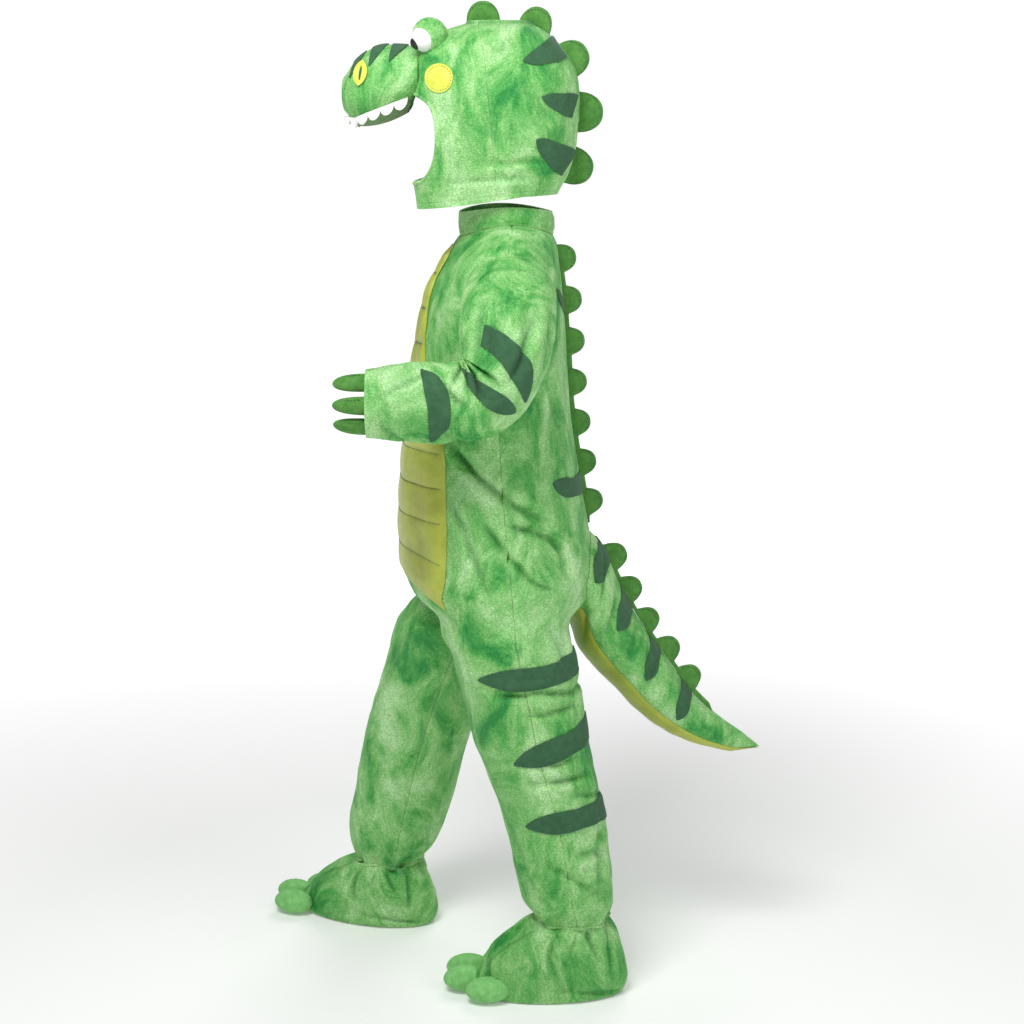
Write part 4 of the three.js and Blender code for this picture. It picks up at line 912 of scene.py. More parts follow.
@dataclass(frozen=True)
class Stripe:
    """A pointed applique on a host surface: its line through three places, and its half width in mm."""

    start: tuple[float, float]
    middle: tuple[float, float]
    end: tuple[float, float]
    wide: float
    blunt: bool = False
    swell: float = 1.15

    def width(self, u: float) -> float:
        """The half width at a share of its length: a leaf, or blunt at its far end."""
        turn = min(u * self.swell, 0.62) if self.blunt else u
        return self.wide * mix(0.05, 1, math.sin(math.pi * turn) ** 0.8)

    def on(self, host) -> Place:
        """The stripe's own surface on a host: u runs along it and v across."""
        scale = host.scale

        def place(u: float, v: float) -> Vector:
            line = [self.start[k] * (1 - u) * (1 - 2 * u) + self.middle[k] * 4 * u * (1 - u)
                    + self.end[k] * u * (2 * u - 1) for k in (0, 1)]
            slope = [self.start[k] * (4 * u - 3) + self.middle[k] * (4 - 8 * u)
                     + self.end[k] * (4 * u - 1) for k in (0, 1)]
            x, y = slope[0] * scale[0], slope[1] * scale[1]
            run = max(math.hypot(x, y), 1e-6)
            off = (2 * v - 1) * self.width(u) * (1 + 0.06 * math.sin(9 * u))
            return host.place(line[0] - off * y / run / scale[0], line[1] + off * x / run / scale[1])
        return place


HOOD_CUTS = {"face": Flat(0.185, 0.275, 0.0262), "hood": Flat(0.205, 0.300, 0.0350)}
NOSTRIL_CUT = Flat(0.017, 0.026, 0.00036)
LEG_STRIPES = (
    Stripe((0.38, 418), (0.55, 423), (0.74, 429), 14, True),
    Stripe((0.425, 318), (0.58, 338), (0.74, 350), 15, True),
    Stripe((0.395, 239), (0.56, 248), (0.74, 250), 14, True),
)
SLEEVE_STRIPES = (
    Stripe((0.17, 8.3), (0, 7.7), (-0.17, 8.0), 12),
    Stripe((0.15, 6.5), (0.03, 5.85), (-0.13, 5.45), 11),
    Stripe((-0.14, 5.1), (-0.01, 4.05), (0.10, 3.5), 12, True),
)
BACK_STRIPES = (
    Stripe((0.70, 642), (0.80, 632), (0.955, 630), 12, True),
    Stripe((0.80, 853), (0.87, 842), (0.945, 834), 7, True),
)
HOOD_STRIPES = (
    Stripe((22, 1121), (43, 1127), (64, 1138), 14, True, 0.5),
    Stripe((43, 1081), (61, 1076), (81, 1071), 13, True, 0.5),
    Stripe((36, 1034), (52, 1022), (74, 1006), 16, True, 0.5),
)
SNOUT_STRIPES = tuple(Stripe((-0.17, y - 8), (0, y + 3), (0.17, y - 8), wide)
                      for y, wide in ((-122, 9), (-145, 9), (-168, 7)))
TAIL_STRIPES = {side: tuple(
    Stripe((a * side.value, b), (a * 0.55 * side.value, (b + top) / 2), (0.022 * side.value, top), wide, True)
    for a, b, top, wide in ((0.21, 0.95, 1.22, 13), (0.215, 2.6, 2.6, 12), (0.25, 4.3, 4.1, 11),
                            (0.29, 5.8, 5.8, 10))) for side in Side}


class Stitching:
    """Rows of short thread stitches on a surface, gathered into one piece."""

    LENGTH = 2.4
    PITCH = 3.6
    RADIUS = 0.42

    def __init__(self) -> None:
        self.rows: list[tuple[list[Vector], Matrix]] = []

    def along(self, points: Sequence[Vector], matrix: Matrix = TO_FRAME) -> None:
        """Adds a row along a line through points."""
        count = max(int(curve_length(points) / self.PITCH), 2)
        self.rows.append((smooth_curve(points, 3 * count + 1), matrix))

    def build(self, workshop: Workshop, name: str, look: Finish) -> bpy.types.Object:
        """One mesh of all the stitches."""
        bm = bmesh.new()
        for points, matrix in self.rows:
            for i in range(0, len(points) - 2, 3):
                start, end = matrix @ points[i], matrix @ points[i + 2]
                along = (end - start).normalized()
                turn = along.to_track_quat("Z", "Y").to_matrix().to_4x4()
                length = self.LENGTH * MM
                made = bmesh.ops.create_uvsphere(bm, u_segments=6, v_segments=4, radius=1.0)
                spread = Matrix.Diagonal((self.RADIUS * MM, self.RADIUS * MM, length / 2, 1))
                bmesh.ops.transform(bm, matrix=Matrix.Translation((start + end) / 2) @ turn @ spread,
                                    verts=made["verts"])
        return workshop.finish(workshop.new_object(name, bm), look, matrix=Matrix.Identity(4))


def colour(code: str) -> tuple[float, float, float, float]:
    """A linear colour from an sRGB hex code."""
    parts = [int(code[i:i + 2], 16) / 255 for i in (1, 3, 5)]
    linear = [c / 12.92 if c <= 0.04045 else ((c + 0.055) / 1.055) ** 2.4 for c in parts]
    return (*linear, 1.0)


def per_metre(size: float) -> float:
    """A texture's scale for a pattern of a size in mm."""
    return 1 / (size * MM)


class Shader:
    """One material's nodes around its Principled shader."""

    def __init__(self, name: str, **values: float) -> None:
        self.material = bpy.data.materials.new(name)
        self.material.use_nodes = True
        self.nodes = self.material.node_tree.nodes
        self.principled = self.nodes["Principled BSDF"]
        self.place = self.add("TexCoord").outputs["Object"]
        for key, value in values.items():
            self.principled.inputs[key.replace("_", " ")].default_value = value

    def add(self, kind: str, settings: dict | None = None, **inputs) -> bpy.types.Node:
        """Adds a node, sets its own settings, and sets or links its inputs."""
        node = self.nodes.new("ShaderNode" + kind)
        for key, value in (settings or {}).items():
            setattr(node, key, value)
        for key, value in inputs.items():
            socket = node.inputs[key.replace("_", " ")]
            if isinstance(value, bpy.types.NodeSocket):
                self.material.node_tree.links.new(value, socket)
            else:
                socket.default_value = value
        return node

    def link(self, output: bpy.types.NodeSocket, name: str) -> None:
        """Links a socket to one of the shader's inputs."""
        self.material.node_tree.links.new(output, self.principled.inputs[name])

    def stretched(self, x: float, y: float, z: float) -> bpy.types.NodeSocket:
        """The object's coordinates, stretched."""
        return self.add("Mapping", Vector=self.place, Scale=(x, y, z)).outputs["Vector"]

    def noise(self, size: float, detail: float = 4, rough: float = 0.55, warp: float = 0.0,
              place: bpy.types.NodeSocket | None = None) -> bpy.types.NodeSocket:
        """A noise whose features are about size mm."""
        return self.add("TexNoise", Vector=place or self.place, Scale=per_metre(size), Detail=detail,
                        Roughness=rough, Distortion=warp).outputs["Fac"]

    def cells(self, size: float, place: bpy.types.NodeSocket | None = None) -> bpy.types.NodeSocket:
        """The distance to the edges of cells of about size mm."""
        return self.add("TexVoronoi", {"feature": "DISTANCE_TO_EDGE"}, Vector=place or self.place,
                        Scale=per_metre(size)).outputs["Distance"]

    def ramp(self, value: bpy.types.NodeSocket, stops: Sequence[tuple[float, str]]) -> bpy.types.NodeSocket:
        """A colour for each level of a value."""
        node = self.add("ValToRGB", Fac=value)
        elements = node.color_ramp.elements
        while len(elements) < len(stops):
            elements.new(0.5)
        for element, (place, code) in zip(elements, stops):
            element.position = place
            element.color = colour(code)
        return node.outputs["Color"]

    def blend(self, fac: bpy.types.NodeSocket | float, first, second,
              how: str = "MIX") -> bpy.types.NodeSocket:
        """Two colours mixed."""
        node = self.add("MixRGB", {"blend_type": how}, Fac=fac, Color1=first, Color2=second)
        return node.outputs["Color"]

    def bump(self, height: bpy.types.NodeSocket, depth: float, strength: float = 1.0,
             before: bpy.types.NodeSocket | None = None) -> bpy.types.NodeSocket:
        """A bump of depth mm, over another."""
        inputs = {"Height": height, "Distance": depth * MM, "Strength": strength}
        if before is not None:
            inputs["Normal"] = before
        return self.add("Bump", **inputs).outputs["Normal"]


def make_plush() -> bpy.types.Material:
    """Crushed polyester plush of uneven green dye, with painted shade in its creases and a painted highlight
    on its ridges, pressed with a hide grain.
    """
    shader = Shader("polyester_plush", Roughness=0.6, Sheen_Weight=0.08, Sheen_Roughness=0.4,
                    Sheen_Tint=colour("#b8f0a8"), Specular_IOR_Level=0.3)
    streaks = shader.stretched(1.0, 1.0, 0.6)
    blotches = shader.noise(52, 6, 0.66, 0.7, streaks)
    base = shader.ramp(blotches, [(0.35, "#2f9446"), (0.43, "#62b55c"), (0.52, "#95d080"), (0.66, "#c6ecb2")])
    crease = shader.add("Attribute", {"attribute_name": "crease"}).outputs["Fac"]
    # Painted shade: the colour is pulled towards dark green #207a38 where the surface is hollow, in creases.
    hollow = shader.ramp(crease, [(0.53, "#000000"), (0.95, "#c4c4c4")])
    # Painted highlight: the colour is lightened towards pale #d2f2b4 on ridges.
    ridge = shader.ramp(crease, [(0.1, "#b0b0b0"), (0.42, "#000000")])
    crease_shaded = shader.blend(hollow, base, colour("#207a38"))
    ridge_highlighted = shader.blend(ridge, crease_shaded, shader.blend(0.4, crease_shaded, colour("#d2f2b4")))
    grain = shader.cells(3.8, shader.stretched(1.0, 1.0, 1.5))
    pores = shader.ramp(grain, [(0.0, "#5aa25a"), (0.16, "#ffffff")])
    # The dye, the grain, the painted crease shade and the painted ridge highlight, multiplied together.
    dye_and_painted_shade = shader.blend(0.45, ridge_highlighted, pores, "MULTIPLY")
    flecks = shader.ramp(shader.noise(2.6, 3, 0.7), [(0.42, "#8fc487"), (0.6, "#ffffff")])
    shader.link(shader.blend(0.35, dye_and_painted_shade, flecks, "MULTIPLY"), "Base Color")
    pile = shader.bump(shader.noise(1.3, 3, 0.7), 0.6, 0.45)
    pressed = shader.bump(grain, 1.4, 0.6, pile)
    shader.link(shader.bump(shader.noise(14, 4, 0.55), 3.4, 0.8, pressed), "Normal")
    return shader.material


def make_satin() -> bpy.types.Material:
    """Polyester satin of the belly and the tail's underside, with painted shade in its creases."""
    shader = Shader("polyester_satin", Roughness=0.45, Sheen_Weight=0.08, Specular_IOR_Level=0.4)
    tint = shader.ramp(shader.noise(55, 4, 0.6), [(0.35, "#8f9c30"), (0.62, "#b0ba46")])
    crease = shader.add("Attribute", {"attribute_name": "crease"}).outputs["Fac"]
    # Painted shade: the colour is pulled towards dark olive #66702a where the surface is hollow, in creases.
    hollow = shader.ramp(crease, [(0.55, "#000000"), (0.95, "#ffffff")])
    shader.link(shader.blend(hollow, tint, colour("#66702a")), "Base Color")
    thread = shader.bump(shader.noise(0.9, 2, 0.6, 0.0, shader.stretched(1, 1, 0.3)), 0.2, 0.5)
    shader.link(shader.bump(shader.noise(14, 3), 2.4, 0.6, thread), "Normal")
    return shader.material


def make_felt(name: str, dark: str, light: str, fuzz: float) -> bpy.types.Material:
    """Pressed polyester felt or fleece."""
    shader = Shader(name, Roughness=0.85, Sheen_Weight=0.06, Sheen_Roughness=0.5, Specular_IOR_Level=0.2)
    tint = shader.ramp(shader.noise(9, 5, 0.7), [(0.3, dark), (0.68, light)])
    shader.link(tint, "Base Color")
    fibres = shader.bump(shader.noise(1.1, 4, 0.75, 0.6), fuzz, 0.6)
    shader.link(shader.bump(shader.noise(7, 3), 0.9, 0.5, fibres), "Normal")
    return shader.material


def make_materials() -> dict[Finish, bpy.types.Material]:
    """Every material, by its finish."""
    black = Shader("black_plush", Base_Color=colour("#15171a"), Roughness=0.38, Specular_IOR_Level=0.5)
    elastic = Shader("knitted_elastic", Base_Color=colour("#22261f"), Roughness=0.8)
    return {
        Finish.PLUSH: make_plush(),
        Finish.SATIN: make_satin(),
        Finish.FELT: make_felt("felt_spikes", "#3f7531", "#5a9345", 0.4),
        Finish.STRIPE: make_felt("brushed_tricot", "#30563a", "#3e6848", 0.3),
        Finish.TOE: make_felt("smooth_velboa", "#6fb566", "#8fcf80", 0.5),
        Finish.CHEEK: make_felt("yellow_felt", "#c3cb45", "#dbe069", 0.4),
        Finish.OLIVE: make_felt("olive_fleece", "#5d7d4e", "#7c9a6a", 0.5),
        Finish.WHITE: make_felt("white_fleece", "#d6d9d4", "#f1f1ef", 0.8),
        Finish.BLACK: black.material,
        Finish.ELASTIC: elastic.material,
    }


class Costume:
    """Builds every piece of the costume."""

    def __init__(self) -> None:
        self.shop = Workshop()
        self.shop.materials = make_materials()
        self.thread = Stitching()
        self.pale_thread = Stitching()

    def build(self) -> None:
        """Makes all the pieces, the seated ones after what they are cut to."""
        cores = [core for side in Side for core in self.body_cores(side)]
        for side in Side:
            self.jumpsuit(side)
            self.sleeve(side, cores)
            self.claws(side)
            self.foot(side)
            self.stripes(side)
        self.collar()
        self.belly()
        self.tail(cores)
        self.spine(cores)
        self.shop.discard(*cores)
        self.head()
        self.thread.build(self.shop, "stitching", Finish.STRIPE)
        self.pale_thread.build(self.shop, "stitching_pale", Finish.PLUSH)

    def body_cores(self, side: Side) -> list[bpy.types.Object]:
        """The filled trunk half and leg, grown by a seam gap, which cut what is seated on them."""
        suit = SUITS[side]
        around = 56

        def ring(z: float, count: int) -> list[Vector]:
            places = [suit.place(i / around, z) for i in range(count)]
            return [place + (place - suit.core(place)).normalized() * CORE_GROWTH for place in places]
        trunk = [ring(z, around + 1) for z in np.linspace(NECK_SEAM - 1, CROTCH + 5, 120).tolist()]
        for points in trunk:
            points[0].x = points[-1].x = -side.value
        leg = [ring(z, around) for z in np.linspace(CROTCH + 5, ANKLE[side] + 2, 90).tolist()]
        return [self.shop.loft(f"core_trunk_{side.word}", trunk),
                self.shop.loft(f"core_leg_{side.word}", leg)]

    def jumpsuit(self, side: Side) -> None:
        """The front and back panels of one side, body and leg in one."""
        suit, arm = SUITS[side], ARMS[side]
        around = 40
        armhole = self.shop.loft("armhole", [
            [arm.place(i / around, b, -PLUSH) for i in range(around)]
            for b in np.linspace(0, 4, 30).tolist()])
        for panel, first, last in (("front", 0.0, 0.5), ("back", 0.5, 1.0)):
            def place(u: float, v: float, first: float = first, last: float = last) -> Vector:
                z = mix(NECK_SEAM, ANKLE[side], v)
                seam = SEAM_TRIM * smooth((HIP - z) / (HIP - CROTCH))
                trims = (seam, SEAM_TRIM) if first == 0 else (SEAM_TRIM, seam)
                return suit.place(mix(first + trims[0], last - trims[1], u), z)
            obj, flat = self.shop.wall(f"{panel}_panel_{side.word}", place, suit.core, (44, 200),
                                       tuck=SEAM_TUCK)
            self.shop.combine(obj, "DIFFERENCE", armhole)
            self.shop.finish(obj, Finish.PLUSH, [f"{panel}_{side.word}"])
            self.shop.sheet(obj, flat, "hung", ["collar"])
        self.shop.discard(armhole)

    def sleeve(self, side: Side, cores: list[bpy.types.Object]) -> None:
        """A sleeve, bent at the elbow, with a stitched hem at the cuff."""
        arm = ARMS[side]
        last = arm.table.last
        obj, flat = self.shop.wall(f"sleeve_tube_{side.word}", lambda u, v: arm.place(u, v * last), arm.core,
                                   (72, 120), closed=True)
        self.shop.combine(obj, "DIFFERENCE", *cores)
        self.shop.finish(obj, Finish.PLUSH, [f"sleeve_{side.word}"])
        self.shop.sheet(obj, flat, "hung", ["front_panel_" + side.word])
        self.pale_thread.along([arm.place(i / 40, last - 0.5, 0.2) for i in range(41)])
        self.thread.along([arm.place(i / 60, 1.2, 0.1) for i in range(61)])

    def claws(self, side: Side) -> None:
        """Three padded felt claws on a band inside the cuff."""
        arm = ARMS[side]
        last = arm.table.last
        _, along, _, _ = arm.frame(last)
        along = Vector((along.x * side.value, along.y, along.z))

        def cuff(u: float, v: float) -> Vector:
            turn = math.radians(mix(-CLAW.band, CLAW.band, u)) / (2 * math.pi)
            return arm.place(turn, last - 0.2 + 0.19 * v, -PLUSH - SEAM)
        band, _ = self.shop.wall(f"claws_set_{side.word}", cuff, arm.core, (30, 4), thick=4.0, lift=-4.0)
        bm = self.copy_of(band)
        for degrees in (-CLAW.spread, 0, CLAW.spread):
            root = arm.place(degrees / 360, last, -PLUSH - SEAM - CLAW.thick)
            out = (arm.place(0.4 * degrees / 360, last) - arm.centre(last)).normalized()
            across = along.cross(out).normalized()
            sunk = CLAW.outer_sunk if degrees else CLAW.sunk
            made = bmesh.ops.create_uvsphere(bm, u_segments=28, v_segments=20, radius=1.0)
            for vertex in made["verts"]:
                share = clamp((vertex.co.z + 1) / 2)
                flat = max(math.hypot(vertex.co.x, vertex.co.y), 1e-6)
                width = (1 - share ** 3) ** 0.5 if abs(vertex.co.z) < 0.9999 else 0.0
                middle = root + along * mix(-sunk, CLAW.long, share) - out * CLAW.droop * share * share
                vertex.co = middle + width * (across * CLAW.half * vertex.co.x / flat
                                              + out * CLAW.thick * vertex.co.y / flat)
            self.thread.along([
                root + along * mix(2, CLAW.long - 3, t) - out * (CLAW.droop * t * t - 4.8 * (1 - t ** 3))
                + across * CLAW.half * 0.68 * math.sqrt(max(1 - t ** 3, 0))
                for t in np.linspace(0.1, 0.93, 9).tolist()])
        bm.to_mesh(band.data)
        bm.free()
        self.shop.finish(band, Finish.FELT, [f"claws_{side.word}"], sharp=60)

    def foot(self, side: Side) -> None:
        """A foot cover with its toes and its elastic strap."""
        cover = COVERS[side]
        matrix = TO_FRAME @ cover.matrix
        obj, flat = self.shop.wall(
            f"foot_cover_{side.word}", lambda u, v: cover.place(u, mix(FOOT_TOP, FOOT_BOTTOM, v)), cover.core,
            (132, 44), closed=True)
        self.shop.finish(obj, Finish.PLUSH, [f"foot_{side.word}"], matrix)
        self.shop.sheet(obj, flat, "gathered", [f"front_panel_{side.word}"])
        ring = [SUITS[side].place(i / 160, ANKLE[side]) for i in range(161)]
        self.tube(f"ankle_seam_{side.word}", ring, 2.6, Finish.PLUSH, TO_FRAME)
        around = 64
        filled = self.shop.loft("filled", [
            [cover.place(i / around, b, CORE_GROWTH) for i in range(around)]
            for b in np.linspace(FOOT_TOP, FOOT_BOTTOM - 0.5, 30).tolist()])
        for number, (across, forward) in enumerate(FEET[side].toes, 1):
            bm = bmesh.new()
            bmesh.ops.create_uvsphere(bm, u_segments=36, v_segments=24, radius=1.0)
            for vertex in bm.verts:
                seam = 1 - 0.05 * math.exp(-(vertex.co.x / 0.12) ** 2) * (vertex.co.z > 0)
                vertex.co = Vector((across, -forward, FLOOR + TOE[2] + TOE_CLEAR)) + Vector(
                    (vertex.co.x * TOE[0], vertex.co.y * TOE[1], vertex.co.z * TOE[2])) * seam
            toe = self.shop.new_object(f"stuffed_toe_{side.word}_{number}", bm)
            self.shop.combine(toe, "DIFFERENCE", filled)
            self.shop.finish(toe, Finish.TOE, [f"toe_{side.word}_{number}"], matrix)
        self.shop.discard(filled)

        def strap_place(u: float, v: float) -> Vector:
            across = mix(-1, 1, u)
            rise = max(abs(across) - STRAP.flat, 0) / (1 - STRAP.flat)
            return Vector((STRAP.reach * clamp(across / STRAP.full, -1, 1),
                           -STRAP.forward + STRAP.half * (2 * v - 1),
                           FLOOR + STRAP.high + STRAP.rise * rise ** 1.4))
        strap, flat = self.shop.wall(f"foot_elastic_{side.word}", strap_place, lambda _: Vector((0, -22, 42)),
                                     (60, 8), thick=STRAP.thick, lift=-STRAP.thick / 2)
        self.shop.finish(strap, Finish.ELASTIC, [f"strap_{side.word}"], matrix)
        self.shop.sheet(strap, flat, "stretched", [f"foot_cover_{side.word}"])

    def patch(self, name: str, place: Place, core: Core, look: Finish, node: str | None, matrix: Matrix,
              rests_on: str, cells: tuple[int, int] = (40, 10)) -> None:
        """A flat applique on a surface."""
        obj, flat = self.shop.wall(name, place, core, cells, thick=APPLIQUE, lift=SEAM)
        self.shop.finish(obj, look, [node] if node else [], matrix)
        self.shop.sheet(obj, flat, "laid", [rests_on])

    def stripes(self, side: Side) -> None:
        """The dark appliques of one side of the body. Those on the back and the tail have no CAD node."""
        suit, arm, word = SUITS[side], ARMS[side], side.word
        groups = (
            ("leg", LEG_STRIPES, suit, "back_panel", (70, 12), True),
            ("sleeve", SLEEVE_STRIPES, arm, "sleeve_tube", (50, 12), True),
            ("back", BACK_STRIPES, suit, "back_panel", (40, 10), False),
        )
        for where, stripes, host, rests_on, cells, has_node in groups:
            for number, stripe in enumerate(stripes, 1):
                self.patch(f"stripe_{where}_{word}_{number}", stripe.on(host), host.core, Finish.STRIPE,
                           f"{where}_stripe_{word}_{number}" if has_node else None, TO_FRAME,
                           f"{rests_on}_{word}", cells)

    def collar(self) -> None:
        """The stand collar and its hook-and-loop tab."""
        seam = TORSO.at(NECK_SEAM)
        low = (seam.z + SEAM, seam.side + SEAM, seam.front, seam.back, seam.half)

        def place(u: float, v: float) -> Vector:
            angle = 2 * math.pi * u
            z, side, front, back, half = (mix(up, down, v) for up, down in zip(COLLAR_TOP, low))
            bow = 1.2 * math.sin(math.pi * v)
            middle, reach = span(front, back)
            return Vector(((half + bow) * math.sin(angle), middle - (reach + bow) * math.cos(angle),
                           z + (side - z) * math.sin(angle) ** 2))

        def core(point: Vector) -> Vector:
            return Vector((0, 0, point.z))
        obj, flat = self.shop.wall("stand_collar", place, core, (96, 14), closed=True)
        self.shop.finish(obj, Finish.PLUSH, ["collar"])
        self.shop.sheet(obj, flat, "stretched", ["front_panel_left"])
        self.patch("hook_and_loop_tab", lambda u, v: place(mix(0.49, 0.57, u), mix(0.2, 0.8, v)), core,
                   Finish.WHITE, "collar_tab", TO_FRAME, "stand_collar", (16, 8))

    def belly(self) -> None:
        """The satin panel over the centre front, quilted across in even rows."""
        def place(u: float, v: float, lift: float = 0.0) -> Vector:
            across = 2 * u - 1
            drop = 23 * abs(across) ** 2.5 * smooth((v - 0.8) / 0.2)
            z = mix(BELLY_TOP, BELLY_BOTTOM + 9 - drop, v)
            side = Side.RIGHT if across < 0 else Side.LEFT
            reach = math.asin(min(BELLY.at(z).edge / TORSO.at(z).half, 1)) / math.pi
            point = SUITS[side].place(abs(across) * reach, z)
            if abs(across) < 1e-6:
                point.x = 0
            row = abs(math.sin(math.pi * (1 - v) * (BELLY_TOP - BELLY_BOTTOM) / BELLY_LINE_PITCH))
            edge = smooth((1 - abs(across)) / 0.12) * smooth((1 - v) / 0.035) * smooth(v / 0.035)
            droop = math.sin(across * 7 + 0.9 * math.sin(z / 40)) + 0.6 * math.sin(across * 13 + z / 63)
            out = Vector((point.x, point.y, 0)).normalized()
            return point + out * (edge * (2.2 * row ** 0.5 + 0.8 * droop + 0.8) + lift)
        obj, flat = self.shop.wall("belly_panel", place, lambda p: Vector((p.x * 0.4, 0, p.z)), (64, 200),
                                   thick=SATIN, lift=SEAM)
        self.shop.finish(obj, Finish.SATIN, ["belly"])
        self.shop.sheet(obj, flat, "laid", ["front_panel_left", "front_panel_right"])
        for row in range(1, 10):
            v = 1 - row * BELLY_LINE_PITCH / (BELLY_TOP - BELLY_BOTTOM)
            self.thread.along([place(u, v, 2.3) for u in np.linspace(0.03, 0.97, 40).tolist()])

    def tail(self, cores: list[bpy.types.Object]) -> None:
        """The stuffed tail: two plush sides and a satin underside that share one section."""
        gap, trim, split = 0.7, 0.35, TAIL_UNDERSIDE_ANGLE
        pieces = [("left", trim, split - trim, Finish.PLUSH),
                  ("right", 360 - split + trim, 360 - trim, Finish.PLUSH),
                  ("underside", split + trim, 360 - split - trim, Finish.SATIN)]
        for word, first, last, look in pieces:
            bisector = math.radians((first + last) / 2)
            rings = []
            for b in np.linspace(0, TAIL.last, 110).tolist():
                middle, up, _ = TAIL_FACE.frame(b)
                arc = []
                for share in (i / 30 for i in range(31)):
                    place = TAIL_FACE.place(mix(first, last, share) / 360, b)
                    seam = 1.2 * (math.exp(-(share / 0.035) ** 2) + math.exp(-((1 - share) / 0.035) ** 2))
                    arc.append(place - (place - middle).normalized() * seam)
                heart = up.normalized() * math.cos(bisector) + Vector((math.sin(bisector), 0, 0))
                rings.append([*arc, middle + gap * heart])
            tip = Vector((1.2 * math.sin(bisector), TAIL_TIP[0], TAIL_TIP[1] + 1.2 * math.cos(bisector)))
            obj = self.shop.loft(f"stuffed_tail_{word}", [*rings, [tip]])
            self.shop.combine(obj, "DIFFERENCE", *cores)
            self.shop.finish(obj, look, [f"tail_{word}"])
        for side in Side:
            for number, stripe in enumerate(TAIL_STRIPES[side], 1):
                self.patch(f"stripe_tail_{side.word}_{number}", stripe.on(TAIL_FACE), TAIL_FACE.core,
                           Finish.STRIPE, None, TO_FRAME, f"stuffed_tail_{side.word}")

    def spike_strip(self, name: str, line: list[Vector], bumps: list[tuple[float, float, float]],
                    strip: float, matrix: Matrix = TO_FRAME) -> bpy.types.Object:
        """A padded strip in the centre plane whose outer edge rises in round points.

        Args:
            name: the piece's name.
            line: its seam, as evenly spaced points.
            bumps: each point's middle along the seam, half width and height.
            strip: the height between the points.
            matrix: the frame that its edge stitches lie in.

        Returns:
            The solid, its base below the surface that it is cut to.
        """
        length = curve_length(line)
        rings, edge = [], []
        for i, place in enumerate(line):
            gone = length * i / (len(line) - 1)
            along = (line[min(i + 1, len(line) - 1)] - line[max(i - 1, 0)]).normalized()
            out = Vector((0, -along.z, along.y))
            high = strip * smooth(min(i, len(line) - 1 - i) / 14)
            for middle, half, top in bumps:
                away = abs(gone - middle) / half
                if away < 1:
                    high = max(high, top * math.sqrt(1 - away ** 2.3))
            thick = SPIKE_THICK * mix(0.7, 1.05, min(high / 14, 1))
            ring = []
            for x, y in SPIKE_SECTION:
                point = place + out * (-SPIKE_SUNK if y is None else high * y)
                point.x = x * thick
                ring.append(point)
            rings.append(ring)
            if high > strip + 3:
                edge.append(place + out * (high - 3.2))
            else:
                self.edge_rows(edge, matrix)
                edge = []
        self.edge_rows(edge, matrix)
        return self.shop.loft(name, rings)

    def edge_rows(self, edge: list[Vector], matrix: Matrix) -> None:
        """Stitches along both faces of a spike, near its edge."""
        for sign in (1, -1) if len(edge) > 4 else ():
            aside = Vector((sign * SPIKE_THICK * 0.43, 0, 0))
            self.thread.along([point + aside for point in edge[::3]], matrix)

    def spine(self, cores: list[bpy.types.Object]) -> None:
        """The padded spikes down the back and the tail."""
        back = smooth_curve([Vector((0, y, z)) for y, z in SPINE_BACK], 300)
        bumps = [(22 + 49.5 * i, 17.0, 22.0) for i in range(7)]
        obj = self.spike_strip("spikes_back", back, bumps, SPINE_STRIP)
        self.shop.combine(obj, "DIFFERENCE", *cores)
        self.shop.finish(obj, Finish.FELT, ["spine_back"], sharp=70)
        rows = [TAIL.at(b) for b in (1.12, 1.6, 2, 2.5, 3, 3.5, 4, 4.5, 5, 5.5, 6, 6.5, 7)]
        line = smooth_curve([Vector((0, row.topY, row.topZ)) for row in rows], 240)
        around = 60
        tail_core = self.shop.loft("core_tail", [[TAIL_FACE.place(i / around, b, SEAM) for i in range(around)]
                                                 for b in np.linspace(0, TAIL.last, 90).tolist()])
        bumps = [(20 + 46.5 * i, 18.0, 24.0) for i in range(5)]
        obj = self.spike_strip("spikes_tail", line, bumps, SPINE_STRIP)
        self.shop.combine(obj, "DIFFERENCE", *cores, tail_core)
        self.shop.discard(tail_core)
        self.shop.finish(obj, Finish.FELT, ["spine_tail"], sharp=70)

    def hood_solid(self, name: str, grow: float, bottom: float) -> bpy.types.Object:
        """The filled hood, its surface moved out by grow."""
        heights = [1168 - 3 * (1 - math.cos(t)) for t in (0.5, 1.0)]
        heights += np.linspace(1164.5, bottom, 120).tolist()
        rings = [HOODS[Side.LEFT].ring(z, grow, 110) for z in heights]
        return self.shop.loft(name, [[Vector((0, CROWN[0], CROWN[1] + grow))], *rings])

    def head(self) -> None:
        """The hood with everything on it, in the head's own frame."""
        hood_core = self.hood_solid("hood_core", SEAM, 930)
        self.hood()
        for number, (y1, z1, y2, z2, high) in enumerate(HOOD_SPIKES, 1):
            line = smooth_curve([Vector((0, y1, z1)), Vector((0, y2, z2))], 60)
            length = curve_length(line)
            bump = (length / 2, length / 2, high)
            obj = self.spike_strip(f"spike_hood_{number}", line, [bump], 1.2, TO_HEAD)
            self.shop.combine(obj, "DIFFERENCE", hood_core)
            self.shop.finish(obj, Finish.FELT, [f"hood_spike_{number}"], TO_HEAD, 70)
        self.snout(hood_core)
        self.eyes(hood_core)
        self.shop.discard(hood_core)

